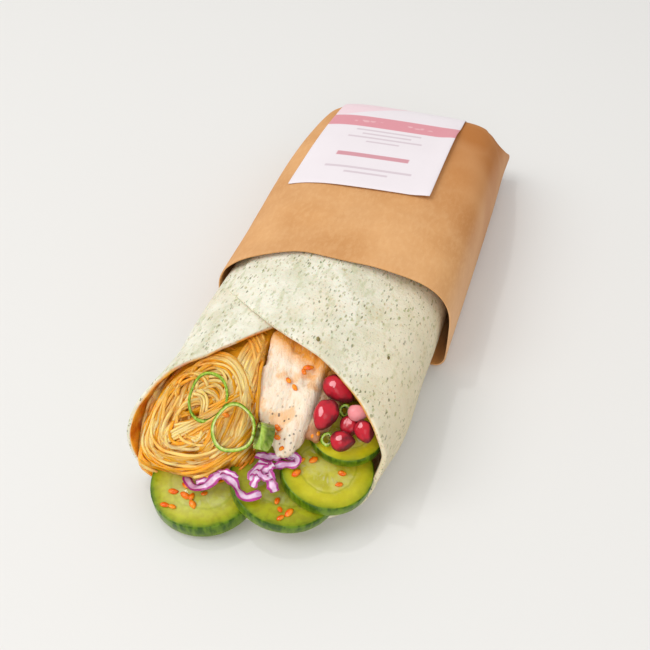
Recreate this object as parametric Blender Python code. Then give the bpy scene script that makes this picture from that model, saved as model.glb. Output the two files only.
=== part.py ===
"""A grilled chicken wrap in its paper sleeve.

One soft tortilla is rolled round glass noodles, grilled chicken, cucumber slices,
red cabbage, spring onion rings and pomegranate seeds.  The rear half sits in a
folded paper sleeve with a label stuck over its top.

Everything below is laid out in millimetres in a working frame: X runs across the
wrap, Y from the open mouth towards the folded rear end, Z up from the table.  An
empty then carries all pieces so that the origin is under the middle of the whole.
"""
import math
import random

import bmesh
import bpy
from mathutils import Matrix, Vector, noise

MM = 0.001

# ---- overall placing: the working frame's middle, carried by the root empty
CENTRE_X = -0.9
CENTRE_Y = 129.28

# ---- tortilla: one sheet rolled into a flattened tube
SHEET = 2.0              # thickness of the sheet
ROLL_X = 0.5             # the roll's middle across the wrap
ROLL_HALF = 43.6         # half width of the roll, middle of the sheet
ROLL_BASE = 2.0          # height of the sheet's middle under the filling
ROLL_SHOULDER = 21.0     # where the upright side turns into the dome
ROLL_TOP = 41.4          # height of the sheet's middle on top
ROLL_CORNER = 10.0       # radius of the lower corners
DOME_POWER = 2.5         # squareness of the dome
LAP = 2.35               # the right flap rides this much over the left one
FLARE = 3.4              # the left side of the mouth stands out by this much
DRAWN_IN = 4.4           # its lower right side curls in by this much
FLARE_REACH = 30.0       # both fade out over this length
SWELL = 2.6              # behind the mouth the left side is fuller by this much
TORTILLA_REAR = 232.0
SQUEEZE = 3.4            # the paper presses the roll's rear end down by this much
SQUEEZE_FROM, SQUEEZE_TO = 168.0, 232.0

# The mouth is the sheet's own cut edge.  First number: way round the roll, 0 under
# the filling, +1 and -1 on top by way of the right and the left side.  Second
# number: how far back the edge lies there.  The two flaps cross at about 0.92.
MOUTH_EDGE = (
    (-1.15, 87.0), (-1.00, 74.5), (-0.905, 65.5), (-0.82, 53.0), (-0.765, 47.5),
    (-0.70, 42.5), (-0.64, 35.0), (-0.60, 27.0), (-0.56, 20.5), (-0.52, 17.4),
    (-0.455, 16.0), (-0.39, 15.8), (-0.22, 12.0), (0.00, 9.5), (0.12, 12.0),
    (0.20, 16.0), (0.27, 21.2), (0.33, 25.6), (0.40, 28.6), (0.52, 31.0),
    (0.615, 33.0), (0.665, 36.4), (0.72, 41.4), (0.78, 46.6), (0.83, 50.4),
    (0.89, 53.6), (0.965, 56.8), (1.085, 63.5), (1.185, 70.5), (1.305, 81.0),
    (1.40, 90.0),
)

# ---- paper sleeve: lofted through these cross sections
PAPER = 0.6              # thickness
# y, left side, right side, underside, shoulder, top, squareness, taper of the dome
SLEEVE_SECTIONS = (
    (105.0, -47.6, 49.6, 0.0, 20.0, 46.4, 2.8, 0.00),
    (125.0, -48.4, 49.7, 0.0, 20.0, 46.3, 2.9, 0.00),
    (150.0, -49.8, 49.8, 0.0, 20.0, 46.1, 3.3, 0.02),
    (180.0, -51.0, 49.9, 0.0, 20.0, 45.9, 3.9, 0.04),
    (204.0, -51.8, 49.9, 0.0, 20.0, 45.5, 4.6, 0.08),
    (236.0, -52.0, 49.6, 0.0, 19.0, 42.6, 5.5, 0.15),
    (242.5, -51.8, 49.4, 1.2, 18.0, 40.6, 6.0, 0.17),
    (250.0, -51.4, 49.6, 4.6, 16.0, 30.5, 6.0, 0.12),
    (257.0, -51.2, 49.9, 8.6, 14.5, 21.5, 6.0, 0.05),
    (262.0, -51.0, 50.2, 11.6, 13.2, 15.8, 6.0, 0.00),
)
SLEEVE_SKEW = 7.5        # its front edge reaches this much further on the left

# ---- label: a sheet stuck on top of the sleeve and over its rear ridge
LABEL_LEFT, LABEL_RIGHT = -37.0, 27.0
LABEL_NEAR, LABEL_FAR = 154.0, 247.0
LABEL_SKEW = 0.035       # its near edge is turned by this slope
LABEL_LIFT = 0.45
LABEL_SHEET = 0.35

# ---- cucumber slices: middle of the underside, radii, thickness, slopes
# name: (x, y, z, radius x, radius y, thickness, slope along x, slope along y)
CUCUMBERS = {
    "cucumber_slice_1": (-17.0, 15.0, 3.7, 19.0, 18.0, 6.0, 0.00, 0.100),
    "cucumber_slice_2": (9.8, 22.6, 9.2, 19.4, 18.6, 4.9, -0.170, 0.080),
    "cucumber_slice_3": (22.6, 28.6, 12.8, 15.6, 15.8, 4.8, -0.170, 0.080),
    "cucumber_slice_4": (25.8, 41.0, 20.4, 12.6, 12.2, 4.0, -0.080, 0.140),
}
# seeds of chilli sauce that stick to each slice: offsets from its middle
CUCUMBER_SEEDS = {
    "cucumber_slice_1": ((-5.5, -3.5), (-8.5, -7.0), (-3.8, -7.2), (-1.5, -7.0),
                         (2.2, -4.5), (0.0, -9.5), (-9.0, -12.6), (-6.2, -12.4)),
    "cucumber_slice_2": ((0.6, -9.8), (2.6, -12.4), (5.8, -12.4), (3.8, -15.2)),
    "cucumber_slice_3": ((-9.0, -1.4), (-5.4, 0.4), (0.6, 3.4), (4.2, 3.6),
                         (5.4, -0.6), (5.8, -5.0), (-9.0, -6.8)),
}

# ---- pomegranate seeds: middle, length, width, turn about Z, tilt
POMEGRANATES = {
    "pomegranate_seed_1": ((21.0, 48.4, 34.6), 12.4, 9.4, -15.0, 22.0),
    "pomegranate_seed_2": ((19.6, 37.9, 32.4), 11.4, 9.2, -100.0, 30.0),
    "pomegranate_seed_3": ((27.6, 39.9, 27.8), 7.2, 6.6, 120.0, 10.0),
    "pomegranate_seed_4": ((27.6, 32.0, 28.2), 8.8, 7.6, 20.0, 0.0),
    "pomegranate_seed_5": ((34.4, 36.6, 30.4), 7.2, 6.4, -50.0, 30.0),
    "pomegranate_seed_6": ((29.9, 40.9, 33.6), 6.2, 5.8, 10.0, 0.0),
}

# ---- spring onion rings: middle, radii, height, wall, direction of the axis
ONION_RINGS = {
    "spring_onion_1": ((-20.8, 31.5, 33.8), 6.7, 8.9, 1.2, 0.9, (0.28, -0.56, 0.78)),
    "spring_onion_2": ((-8.7, 24.6, 29.6), 7.5, 8.5, 2.0, 1.2, (0.30, -0.62, 0.72)),
    "spring_onion_3": ((2.5, 24.5, 29.6), 4.3, 5.1, 5.0, 1.1, (0.93, 0.30, -0.32)),
    "spring_onion_4": ((21.8, 32.6, 26.4), 2.0, 2.5, 1.8, 0.9, (0.30, -0.62, 0.72)),
    "spring_onion_5": ((24.6, 43.6, 30.0), 1.9, 2.4, 1.8, 0.9, (0.30, -0.40, 0.80)),
}

# ---- red cabbage: routes of the shreds, width, thickness
CABBAGE_SHREDS = {
    "red_cabbage_1": (3.0, 1.0, ((-23.0, 12.4, 11.3), (-18.6, 9.4, 11.0),
                                 (-14.4, 10.6, 11.8), (-9.6, 12.6, 18.2),
                                 (-4.6, 12.0, 17.4), (-1.6, 9.4, 16.6),
                                 (2.0, 8.2, 15.9), (6.0, 11.2, 15.7))),
    "red_cabbage_2": (3.6, 1.1, ((1.0, 14.4, 16.7), (1.6, 17.6, 18.0),
                                 (3.8, 19.0, 19.6), (6.2, 17.4, 19.6),
                                 (8.6, 14.6, 18.0), (10.4, 12.6, 16.8))),
    "red_cabbage_3": (2.6, 1.0, ((-1.0, 24.0, 18.4), (3.6, 24.2, 19.2),
                                 (8.4, 24.6, 20.9), (14.0, 26.2, 20.8))),
}

# ---- glass noodles
NOODLE_RADIUS = 0.75
NOODLE_STRANDS = 20      # strands of the swirl
NOODLE_RISERS = 5        # strands that rise beside the chicken
NOODLE_MIDDLE = (-22.5, 26.5)     # x, z of the swirl's middle
FILLING_REAR = 228.0
LEAN = 0.33              # the chicken's left side leans outwards by this slope
LEAN_FOOT = 20.0         # height at which it has not moved


def clear_scene():
    for item in list(bpy.data.objects):
        bpy.data.objects.remove(item, do_unlink=True)


def plain_material(name, colour, roughness):
    material = bpy.data.materials.new(name)
    material.use_nodes = True
    shader = material.node_tree.nodes["Principled BSDF"]
    shader.inputs["Base Color"].default_value = (*colour, 1.0)
    shader.inputs["Roughness"].default_value = roughness
    shader.inputs["Metallic"].default_value = 0.0
    return material


def mesh_object(name, bm, material, smooth=40.0):
    """Turn a bmesh in working millimetres into an object in metres."""
    bmesh.ops.recalc_face_normals(bm, faces=bm.faces)
    bmesh.ops.scale(bm, vec=(MM, MM, MM), verts=bm.verts)
    mesh = bpy.data.meshes.new(name)
    bm.to_mesh(mesh)
    bm.free()
    mesh.materials.append(material)
    mesh.shade_smooth()
    mesh.set_sharp_from_angle(angle=math.radians(smooth))
    item = bpy.data.objects.new(name, mesh)
    bpy.context.scene.collection.objects.link(item)
    return item


def join_solids(base, pieces):
    """Fuse the pieces onto the base with one Boolean union, and remove them."""
    group = bpy.data.collections.new(base.name + "_parts")
    for piece in pieces:
        for owner in list(piece.users_collection):
            owner.objects.unlink(piece)
        group.objects.link(piece)
    bpy.context.scene.collection.children.link(group)
    union = base.modifiers.new("Fuse", "BOOLEAN")
    union.operation = "UNION"
    union.operand_type = "COLLECTION"
    union.collection = group
    union.solver = "MANIFOLD"
    bpy.context.view_layer.update()
    graph = bpy.context.evaluated_depsgraph_get()
    fused = bpy.data.meshes.new_from_object(base.evaluated_get(graph))
    base.modifiers.clear()
    base.data = fused
    keep_outer_skin(fused)
    for piece in pieces:
        bpy.data.objects.remove(piece, do_unlink=True)
    bpy.data.collections.remove(group)
    return base


def keep_outer_skin(mesh):
    """Remove the small pockets sealed in between fused pieces."""
    bm = bmesh.new()
    bm.from_mesh(mesh)
    left = set(bm.faces)
    shells = []
    while left:
        seed = left.pop()
        shell = [seed]
        reach = [seed]
        while reach:
            for edge in reach.pop().edges:
                for face in edge.link_faces:
                    if face in left:
                        left.remove(face)
                        shell.append(face)
                        reach.append(face)
        shells.append(shell)
    shells.sort(key=len)
    for shell in shells[:-1]:
        bmesh.ops.delete(bm, geom=shell, context="FACES")
    bm.to_mesh(mesh)
    bm.free()


def smooth_table(table, at):
    """Read a smooth curve through the table's (place, value) pairs."""
    last = len(table) - 1
    if at <= table[0][0]:
        return table[0][1]
    if at >= table[last][0]:
        return table[last][1]
    i = 0
    while table[i + 1][0] < at:
        i += 1
    x0, y0 = table[i]
    x1, y1 = table[i + 1]
    before = table[max(i - 1, 0)]
    after = table[min(i + 2, last)]
    slope0 = (y1 - before[1]) / (x1 - before[0])
    slope1 = (after[1] - y0) / (after[0] - x0)
    width = x1 - x0
    t = (at - x0) / width
    h00 = 2 * t ** 3 - 3 * t ** 2 + 1
    h10 = t ** 3 - 2 * t ** 2 + t
    h01 = -2 * t ** 3 + 3 * t ** 2
    h11 = t ** 3 - t ** 2
    return h00 * y0 + h10 * width * slope0 + h01 * y1 + h11 * width * slope1


def smooth_route(points, count):
    """Points along a Catmull-Rom curve through the given points."""
    nodes = [Vector(p) for p in points]
    ends = [2 * nodes[0] - nodes[1]] + nodes + [2 * nodes[-1] - nodes[-2]]
    route = []
    for k in range(count):
        place = k / (count - 1) * (len(nodes) - 1)
        i = min(int(place), len(nodes) - 2)
        t = place - i
        a, b, c, d = ends[i], ends[i + 1], ends[i + 2], ends[i + 3]
        point = 2 * b + (c - a) * t
        point += (2 * a - 5 * b + 4 * c - d) * t ** 2
        point += (3 * b - a - 3 * c + d) * t ** 3
        route.append(point * 0.5)
    return route


# ---------------------------------------------------------------- cross section
def half_section():
    """Right half of the roll's cross section, from under the filling to the top."""
    points = [Vector((0.0, ROLL_BASE))]
    flat = ROLL_HALF - ROLL_CORNER
    for k in range(1, 8):
        points.append(Vector((flat * k / 7, ROLL_BASE)))
    for k in range(1, 10):
        turn = -math.pi / 2 + math.pi / 2 * k / 9
        x = flat + ROLL_CORNER * math.cos(turn)
        z = ROLL_BASE + ROLL_CORNER + ROLL_CORNER * math.sin(turn)
        points.append(Vector((x, z)))
    rise = ROLL_TOP - ROLL_SHOULDER
    power = 2.0 / DOME_POWER
    for k in range(0, 41):
        turn = math.pi / 2 * k / 40
        x = ROLL_HALF * abs(math.cos(turn)) ** power
        z = ROLL_SHOULDER + rise * math.sin(turn) ** power
        points.append(Vector((x, z)))
    points[-1].x = 0.0
    return points


HALF = half_section()
LENGTHS = [0.0]
for first, second in zip(HALF, HALF[1:]):
    LENGTHS.append(LENGTHS[-1] + (second - first).length)
HALF_LENGTH = LENGTHS[-1]


def on_half(way):
    """Point of the right half at a way of 0 to 1 along it."""
    target = max(0.0, min(1.0, way)) * HALF_LENGTH
    i = 0
    while i < len(LENGTHS) - 2 and LENGTHS[i + 1] < target:
        i += 1
    span = LENGTHS[i + 1] - LENGTHS[i]
    t = (target - LENGTHS[i]) / span if span else 0.0
    return HALF[i].lerp(HALF[i + 1], t)


def roll_point(way):
    """Point (x, z) on the closed section; +1 and -1 meet on top."""
    way = (way + 1.0) % 2.0 - 1.0
    point = on_half(abs(way))
    return Vector((ROLL_X + math.copysign(point.x, way), point.y))


def roll_normal(way):
    """Outward direction of the section there."""
    along = roll_point(way + 0.01) - roll_point(way - 0.01)
    normal = Vector((along.y, -along.x))
    return normal.normalized()


def lap_offset(way):
    """The right flap rises over the left one near the top."""
    return LAP * smooth_step((way - 0.76) / 0.20)


def flare_offset(way, behind):
    """The mouth stands out on the left and draws in low on the right.

    The second number is how far behind the edge the place lies.
    """
    out = FLARE * math.exp(-((way + 0.56) / 0.13) ** 2)
    width = 0.16 if way > 0.40 else 0.09
    drawn = DRAWN_IN * math.exp(-((way - 0.40) / width) ** 2)
    return (out - drawn) * (1.0 - smooth_step(behind / FLARE_REACH))


def left_swell(way, y):
    """The noodles fill the left side out between the mouth and the sleeve."""
    along = smooth_step((y - 46.0) / 24.0) * (1.0 - smooth_step((y - 125.0) / 70.0))
    return SWELL * math.exp(-((way + 0.56) / 0.16) ** 2) * along


def squeezed(z, y):
    """Height after the rear end is pressed down."""
    press = SQUEEZE * smooth_step((y - SQUEEZE_FROM) / (SQUEEZE_TO - SQUEEZE_FROM))
    return z - press * z / ROLL_TOP


def smooth_step(t):
    t = max(0.0, min(1.0, t))
    return t * t * (3.0 - 2.0 * t)


def inner_height(x, inset):
    """Lowest and highest z inside the roll at x, this far in from the sheet."""
    half = ROLL_HALF - inset
    reach = min(abs(x - ROLL_X), half)
    rise = ROLL_TOP - inset - ROLL_SHOULDER
    share = 1.0 - (reach / half) ** DOME_POWER
    top = ROLL_SHOULDER + rise * max(share, 0.0) ** (1.0 / DOME_POWER)
    radius = ROLL_CORNER - inset
    flat = half - radius
    bottom = ROLL_BASE + inset
    if reach > flat:
        bottom += radius - math.sqrt(max(radius ** 2 - (reach - flat) ** 2, 0.0))
    return bottom, top


# ---------------------------------------------------------------- the tortilla
def build_tortilla(material):
    """One sheet, rolled with the right flap over the left one."""
    columns = 58
    near_rows = (0.0, 0.6, 4.0, 12.0, 21.0)
    far_rows = (0.0, 0.35, 0.65, 0.82, 1.0)
    start, stop = -1.12, 1.31
    bm = bmesh.new()
    outer = []
    inner = []
    for i in range(columns + 1):
        way = start + (stop - start) * i / columns
        edge = smooth_table(MOUTH_EDGE, way)
        base = roll_point(way)
        normal = roll_normal(way)
        outer_line = []
        inner_line = []
        bend = edge + FLARE_REACH
        places = [edge + step for step in near_rows]
        places.extend(bend + (TORTILLA_REAR - bend) * t for t in far_rows)
        for y in places:
            thin = 0.75 if y == edge else 1.0
            stand = lap_offset(way) + flare_offset(way, y - edge) + left_swell(way, y)
            middle = base + normal * stand
            out = middle + normal * SHEET / 2 * thin
            inside = middle - normal * SHEET / 2 * thin
            outer_line.append(bm.verts.new((out.x, y, squeezed(out.y, y))))
            inner_line.append(bm.verts.new((inside.x, y, squeezed(inside.y, y))))
        outer.append(outer_line)
        inner.append(inner_line)
    last = len(outer[0]) - 1
    for i in range(columns):
        for j in range(last):
            bm.faces.new((outer[i][j], outer[i + 1][j], outer[i + 1][j + 1], outer[i][j + 1]))
            bm.faces.new((inner[i][j], inner[i][j + 1], inner[i + 1][j + 1], inner[i + 1][j]))
        bm.faces.new((outer[i][0], inner[i][0], inner[i + 1][0], outer[i + 1][0]))
        bm.faces.new((outer[i][last], outer[i + 1][last], inner[i + 1][last], inner[i][last]))
    for j in range(last):
        bm.faces.new((outer[0][j], outer[0][j + 1], inner[0][j + 1], inner[0][j]))
        bm.faces.new((outer[-1][j], inner[-1][j], inner[-1][j + 1], outer[-1][j + 1]))
    return mesh_object("tortilla", bm, material)


# ---------------------------------------------------------------- paper and label
def sleeve_section(y):
    """The sleeve's section numbers at y, read between the two nearest sections."""
    rows = SLEEVE_SECTIONS
    i = 0
    while i < len(rows) - 2 and rows[i + 1][0] < y:
        i += 1
    t = max(0.0, min(1.0, (y - rows[i][0]) / (rows[i + 1][0] - rows[i][0])))
    return [a + (b - a) * t for a, b in zip(rows[i], rows[i + 1])]


def sleeve_side(row, inset):
    """Right half of a section as (distance from the middle, z), bottom to top."""
    y, left, right, under, shoulder, top, power, taper = row
    half = (right - left) / 2 - inset
    under += inset
    top -= inset
    corner = min(6.0, (shoulder - under) * 0.45)
    side = [(0.0, under), (half * 0.5, under)]
    for k in range(0, 4):
        turn = -math.pi / 2 + math.pi / 2 * k / 3
        x = half - corner + corner * math.cos(turn)
        side.append((x, under + corner + corner * math.sin(turn)))
    for k in range(0, 12):
        turn = math.pi / 2 * k / 12
        rise = math.sin(turn) ** (2 / power)
        x = half * math.cos(turn) ** (2 / power) * (1.0 - taper * rise)
        side.append((x, shoulder + (top - shoulder) * rise))
    side.append((0.0, top))
    return side


def sleeve_top(x, y):
    """Height of the sleeve's upper face."""
    row = sleeve_section(y)
    away = abs(x - (row[1] + row[2]) / 2)
    dome = sleeve_side(row, 0.0)[6:]
    for (x0, z0), (x1, z1) in zip(dome, dome[1:]):
        if x1 <= away <= x0:
            return z0 + (z1 - z0) * (x0 - away) / (x0 - x1)
    return dome[0][1]


def sleeve_ring(row, inset):
    """One closed cross section of the sleeve, starting under its middle."""
    middle = (row[1] + row[2]) / 2
    side = sleeve_side(row, inset)
    other = [(-x, z) for x, z in reversed(side[1:-1])]
    front = SLEEVE_SKEW if row[0] == SLEEVE_SECTIONS[0][0] else 0.0
    return [(middle + x, row[0] - front * smooth_step((-x - 8.0) / 40.0), z)
            for x, z in side + other]


def bridge(bm, first, second):
    count = len(first)
    for k in range(count):
        after = (k + 1) % count
        bm.faces.new((first[k], first[after], second[after], second[k]))


def build_sleeve(material):
    """A paper bag open at the front, its rear end folded to a wedge."""
    bm = bmesh.new()
    outer = [[bm.verts.new(p) for p in sleeve_ring(row, 0.0)] for row in SLEEVE_SECTIONS]
    inner = []
    for row in SLEEVE_SECTIONS[:-1]:
        if row[5] - row[3] > 14.0:
            inner.append([bm.verts.new(p) for p in sleeve_ring(row, PAPER)])
    for rings in (outer, inner):
        for first, second in zip(rings, rings[1:]):
            bridge(bm, first, second)
    bridge(bm, outer[0], inner[0])
    bm.faces.new(outer[-1])
    bm.faces.new(inner[-1])
    return mesh_object("paper_sleeve", bm, material, 50.0)


def build_label(material):
    """A thin sheet that follows the sleeve's top and its rear ridge."""
    ys = (LABEL_NEAR, 168.0, 180.0, 196.0, 212.0, 224.0, 236.0, 239.5, 242.5, LABEL_FAR)
    columns = 12
    bm = bmesh.new()
    upper = []
    lower = []
    for i in range(columns + 1):
        x = LABEL_LEFT + (LABEL_RIGHT - LABEL_LEFT) * i / columns
        upper_line = []
        lower_line = []
        for y in ys:
            turn = LABEL_SKEW * (x - LABEL_LEFT) * (LABEL_FAR - y) / (LABEL_FAR - LABEL_NEAR)
            place = y + turn * 2.0
            height = sleeve_top(x, place)
            before = sleeve_top(x, place - 1.0)
            normal = Vector((0.0, before - height, 1.0)).normalized()
            low = Vector((x, place, height)) + normal * LABEL_LIFT
            high = low + normal * LABEL_SHEET
            lower_line.append(bm.verts.new(low))
            upper_line.append(bm.verts.new(high))
        upper.append(upper_line)
        lower.append(lower_line)
    last = len(ys) - 1
    for i in range(columns):
        for j in range(last):
            bm.faces.new((upper[i][j], upper[i + 1][j], upper[i + 1][j + 1], upper[i][j + 1]))
            bm.faces.new((lower[i][j], lower[i][j + 1], lower[i + 1][j + 1], lower[i + 1][j]))
        bm.faces.new((upper[i][0], lower[i][0], lower[i + 1][0], upper[i + 1][0]))
        bm.faces.new((upper[i][last], upper[i + 1][last], lower[i + 1][last], lower[i][last]))
    for j in range(last):
        bm.faces.new((upper[0][j], upper[0][j + 1], lower[0][j + 1], lower[0][j]))
        bm.faces.new((upper[-1][j], lower[-1][j], lower[-1][j + 1], upper[-1][j + 1]))
    return mesh_object("label", bm, material)


# ---------------------------------------------------------------- the filling
def loft_across(name, stations, material):
    """A solid lofted along X through side profiles of equal point counts.

    Each profile point is (y, z, step aside along X).
    """
    bm = bmesh.new()
    rings = []
    for x, profile in stations:
        rings.append([bm.verts.new((x + out, y, z)) for y, z, out in profile])
    for first, second in zip(rings, rings[1:]):
        bridge(bm, first, second)
    bm.faces.new(rings[0])
    bm.faces.new(rings[-1])
    return mesh_object(name, bm, material)


def noodle_face(x, z):
    """How far back the front of the noodles lies at a place of the section."""
    low, high = inner_height(x, 2.6)
    t = max(0.0, min(1.0, (z - 10.0) / (high - 10.0)))
    left = smooth_step((-x - 18.0) / 24.0)
    right = smooth_step((x + 14.0) / 12.0)
    slope = 11.0 + 37.5 * t ** 1.25 + 3.0 * right
    upright = 12.5 + 23.0 * t ** 2.6
    bulge = (5.0 - 2.0 * left) * math.sin(math.pi * min(t * 1.05, 1.0))
    return slope * (1.0 - left) + upright * left - bulge + 1.0


def stand_out(x, z):
    """Step aside: out to the flared left side, and along with the leaning chicken."""
    side = smooth_step((-x - 30.0) / 10.0)
    out = -1.1 * side * math.exp(-((z - 22.0) / 9.0) ** 2)
    return out - LEAN * (z - LEAN_FOOT) * smooth_step((x + 19.0) / 15.6)


def build_noodles(material):
    """The noodles: a core that runs through the wrap, with strands on its face."""
    rng = random.Random(7)
    stations = []
    for x in (-40.7, -39.0, -35.8, -30.0, -24.0, -18.0, -12.8, -9.8, -6.6, -3.4):
        low, high = inner_height(x, 1.9)
        shelf, shelf_rear = 10.7, 34.8
        if x > -20.0:
            shelf = 11.4
        if x > -13.0:
            shelf, shelf_rear = 14.2, 43.5
        if x > -10.0:
            shelf = 19.4
        if x < -36.8:
            shelf, shelf_rear = low + 0.8, 19.0
        top = high - 0.8
        heights = [shelf - 0.3 + (top - shelf + 0.3) * k / 8 for k in range(9)]
        profile = []
        for y, z in ((FILLING_REAR, squeezed(high - 0.4, FILLING_REAR)), (FILLING_REAR, low),
                     (shelf_rear, low), (shelf_rear, shelf + 1.6)):
            profile.append((y, z, stand_out(x, z) if x > -30.0 else 0.0))
        for k, z in enumerate(heights):
            tucked = 4.0 if k == 0 and -36.8 < x < -10.0 else 0.0
            profile.append((noodle_face(x, z) + tucked, z, stand_out(x, z)))
        stations.append((x, profile))
    core = loft_across("noodles", stations, material)
    strands = []
    middle_x, middle_z = NOODLE_MIDDLE
    for index in range(NOODLE_STRANDS):
        reach = 0.26 + 0.74 * (index + rng.random()) / NOODLE_STRANDS
        begin = rng.uniform(-math.pi, math.pi)
        sweep = rng.uniform(1.6, 3.0) * (1.15 - 0.35 * reach)
        shift = Vector((rng.uniform(-1.5, 1.5), rng.uniform(-1.0, 1.0)))
        count = 17
        points = []
        for k in range(count):
            angle = begin + sweep * k / (count - 1)
            wave = 1.0 + 0.05 * math.sin(3.0 * angle + index)
            x = middle_x + shift.x + 19.6 * reach * wave * math.cos(angle)
            z = middle_z + shift.y + 14.5 * reach * wave * math.sin(angle)
            x = max(-40.4, min(-4.6, x))
            low, high = inner_height(x, 3.6)
            shelf = 20.2 if x > -11.5 else 13.8
            z = max(shelf, min(high - 0.2, z))
            arch = math.sin(math.pi * k / (count - 1))
            y = noodle_face(x, z) + 1.2 - 1.5 * arch ** 0.5
            points.append(Vector((x + stand_out(x, z), y, z)))
        strands.append(tube("strand", points, NOODLE_RADIUS, material))
    for index in range(NOODLE_RISERS):
        points = []
        count = 11
        for k in range(count):
            t = k / (count - 1)
            x = -4.8 - 2.3 * index - 2.0 * t - 0.9 * math.sin(5.0 * t + index)
            low, high = inner_height(x, 3.6)
            z = 21.0 + 0.5 * index + (high - 22.0) * t
            z = min(z, high - 0.2)
            ends = 0.9 if k in (0, count - 1) else 0.0
            points.append(Vector((x + stand_out(x, z), noodle_face(x, z) - 0.3 + ends, z)))
        strands.append(tube("riser", points, NOODLE_RADIUS, material))
    return join_solids(core, strands)


def tube(name, points, radius, material, sides=6):
    """A round strand along the points, closed at both ends."""
    bm = bmesh.new()
    rings = []
    side = None
    for k, point in enumerate(points):
        ahead = points[min(k + 1, len(points) - 1)]
        behind = points[max(k - 1, 0)]
        along = (ahead - behind).normalized()
        if side is None:
            side = along.orthogonal().normalized()
        side = (side - along * side.dot(along)).normalized()
        up = along.cross(side)
        ring = []
        for j in range(sides):
            turn = 2.0 * math.pi * j / sides
            ring.append(bm.verts.new(point + (side * math.cos(turn) + up * math.sin(turn)) * radius))
        rings.append(ring)
    for first, second in zip(rings, rings[1:]):
        bridge(bm, first, second)
    bm.faces.new(rings[0])
    bm.faces.new(rings[-1])
    return mesh_object(name, bm, material)


def chicken_profile(x, tip_y, tip_z, under_rear, bulge, lean=0.0, shelf=0.0):
    """Side profile of a chicken strip: a torn sloping face over the vegetables.

    A shelf of 1 draws the lower part of the face out into a flat tongue.
    """
    def place(y, z):
        return y, z, -lean * (z - LEAN_FOOT)

    low, high = inner_height(x, 1.9)
    top_y = 61.0 + 0.15 * max(x, 0.0)
    top = high - 0.4 - 0.5 * smooth_step((x - 4.0) / 10.0)
    rear_top = squeezed(top, FILLING_REAR)
    points = [place(FILLING_REAR, rear_top), place(FILLING_REAR, low), place(60.0, low)]
    points.append(place(60.0, under_rear))
    points.append(place(tip_y + 5.0, tip_z - 0.4))
    for k in range(7):
        t = k / 6.0
        y = tip_y + (top_y - tip_y) * t ** (1.35 - 0.65 * shelf)
        z = tip_z + 2.2 * shelf * min(1.0, 6.0 * t)
        z += (top - tip_z - 2.2 * shelf) * t ** (0.95 + 1.4 * shelf)
        swell = bulge * math.sin(math.pi * t)
        lumps = 1.2 * noise.noise(Vector((x * 0.16, y * 0.12, z * 0.12)))
        rise = (swell + lumps) * 0.5 * (1.0 - t)
        points.append(place(y - (swell + lumps) * 0.8, z + rise))
    return points


def build_chicken(material):
    """Two strips of grilled chicken that run through the wrap."""
    first = []
    for x, tip_y, tip_z in ((-2.7, 35.0, 26.0), (0.6, 31.6, 24.6), (4.0, 26.2, 23.6),
                            (7.8, 22.6, 23.2), (11.0, 23.8, 23.2), (12.4, 29.6, 24.2),
                            (13.2, 35.0, 25.4)):
        lean = LEAN * (1.0 - smooth_step((x + 2.7) / 15.9))
        first.append((x, chicken_profile(x, tip_y, tip_z, 24.6, 2.2, lean)))
    piece_1 = loft_across("chicken_1", first, material)
    second = []
    for x, tip_y, tip_z, shelf in ((13.9, 35.6, 26.0, 0.9), (15.6, 31.8, 25.7, 1.0),
                                   (18.2, 31.2, 25.6, 1.0), (20.4, 34.0, 25.8, 1.0),
                                   (22.0, 42.0, 27.2, 0.8), (23.6, 56.4, 27.8, 0.0),
                                   (27.0, 58.6, 27.4, 0.0), (31.0, 58.6, 27.0, 0.0),
                                   (36.0, 58.8, 25.0, 0.0), (39.8, 59.0, 23.0, 0.0)):
        second.append((x, chicken_profile(x, tip_y, tip_z, 28.3 if x < 30.0 else 26.0,
                                          0.6, 0.0, shelf)))
    piece_2 = loft_across("chicken_2", second, material)
    return piece_1, piece_2


def build_slice(name, numbers, rng, flesh, seeds):
    """One cucumber slice, a slightly uneven disc, with sauce seeds stuck on it."""
    x, y, z, radius_x, radius_y, thick, slope_x, slope_y = numbers
    sides = 36
    bm = bmesh.new()
    rings = []
    bumps = [rng.uniform(-0.18, 0.18) for _ in range(sides)]
    for height, shrink in ((0.0, 0.5), (0.6, 0.0), (thick - 0.6, 0.0), (thick, 0.5)):
        ring = []
        for k in range(sides):
            turn = 2.0 * math.pi * k / sides
            reach_x = radius_x - shrink + bumps[k]
            reach_y = radius_y - shrink + bumps[k]
            ring.append(bm.verts.new((reach_x * math.cos(turn), reach_y * math.sin(turn), height)))
        rings.append(ring)
    for first, second in zip(rings, rings[1:]):
        bridge(bm, first, second)
    bm.faces.new(rings[0])
    bm.faces.new(rings[-1])
    placing = lying(x, y, z, slope_x, slope_y)
    bmesh.ops.transform(bm, matrix=placing, verts=bm.verts)
    disc = mesh_object(name, bm, flesh)
    stuck = []
    for dx, dy in seeds:
        bit = bmesh.new()
        bmesh.ops.create_icosphere(bit, subdivisions=1, radius=1.0)
        turn = Matrix.Rotation(rng.uniform(0.0, math.pi), 4, "Z")
        size = rng.uniform(0.85, 1.15)
        shape = Matrix.Diagonal((1.5 * size, 1.0 * size, 0.8 * size, 1.0))
        there = Matrix.Translation((dx, dy, thick + 0.25))
        bmesh.ops.transform(bit, matrix=placing @ there @ turn @ shape, verts=bit.verts)
        stuck.append(mesh_object("sauce_seed", bit, flesh))
    if stuck:
        join_solids(disc, stuck)
    return disc


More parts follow.
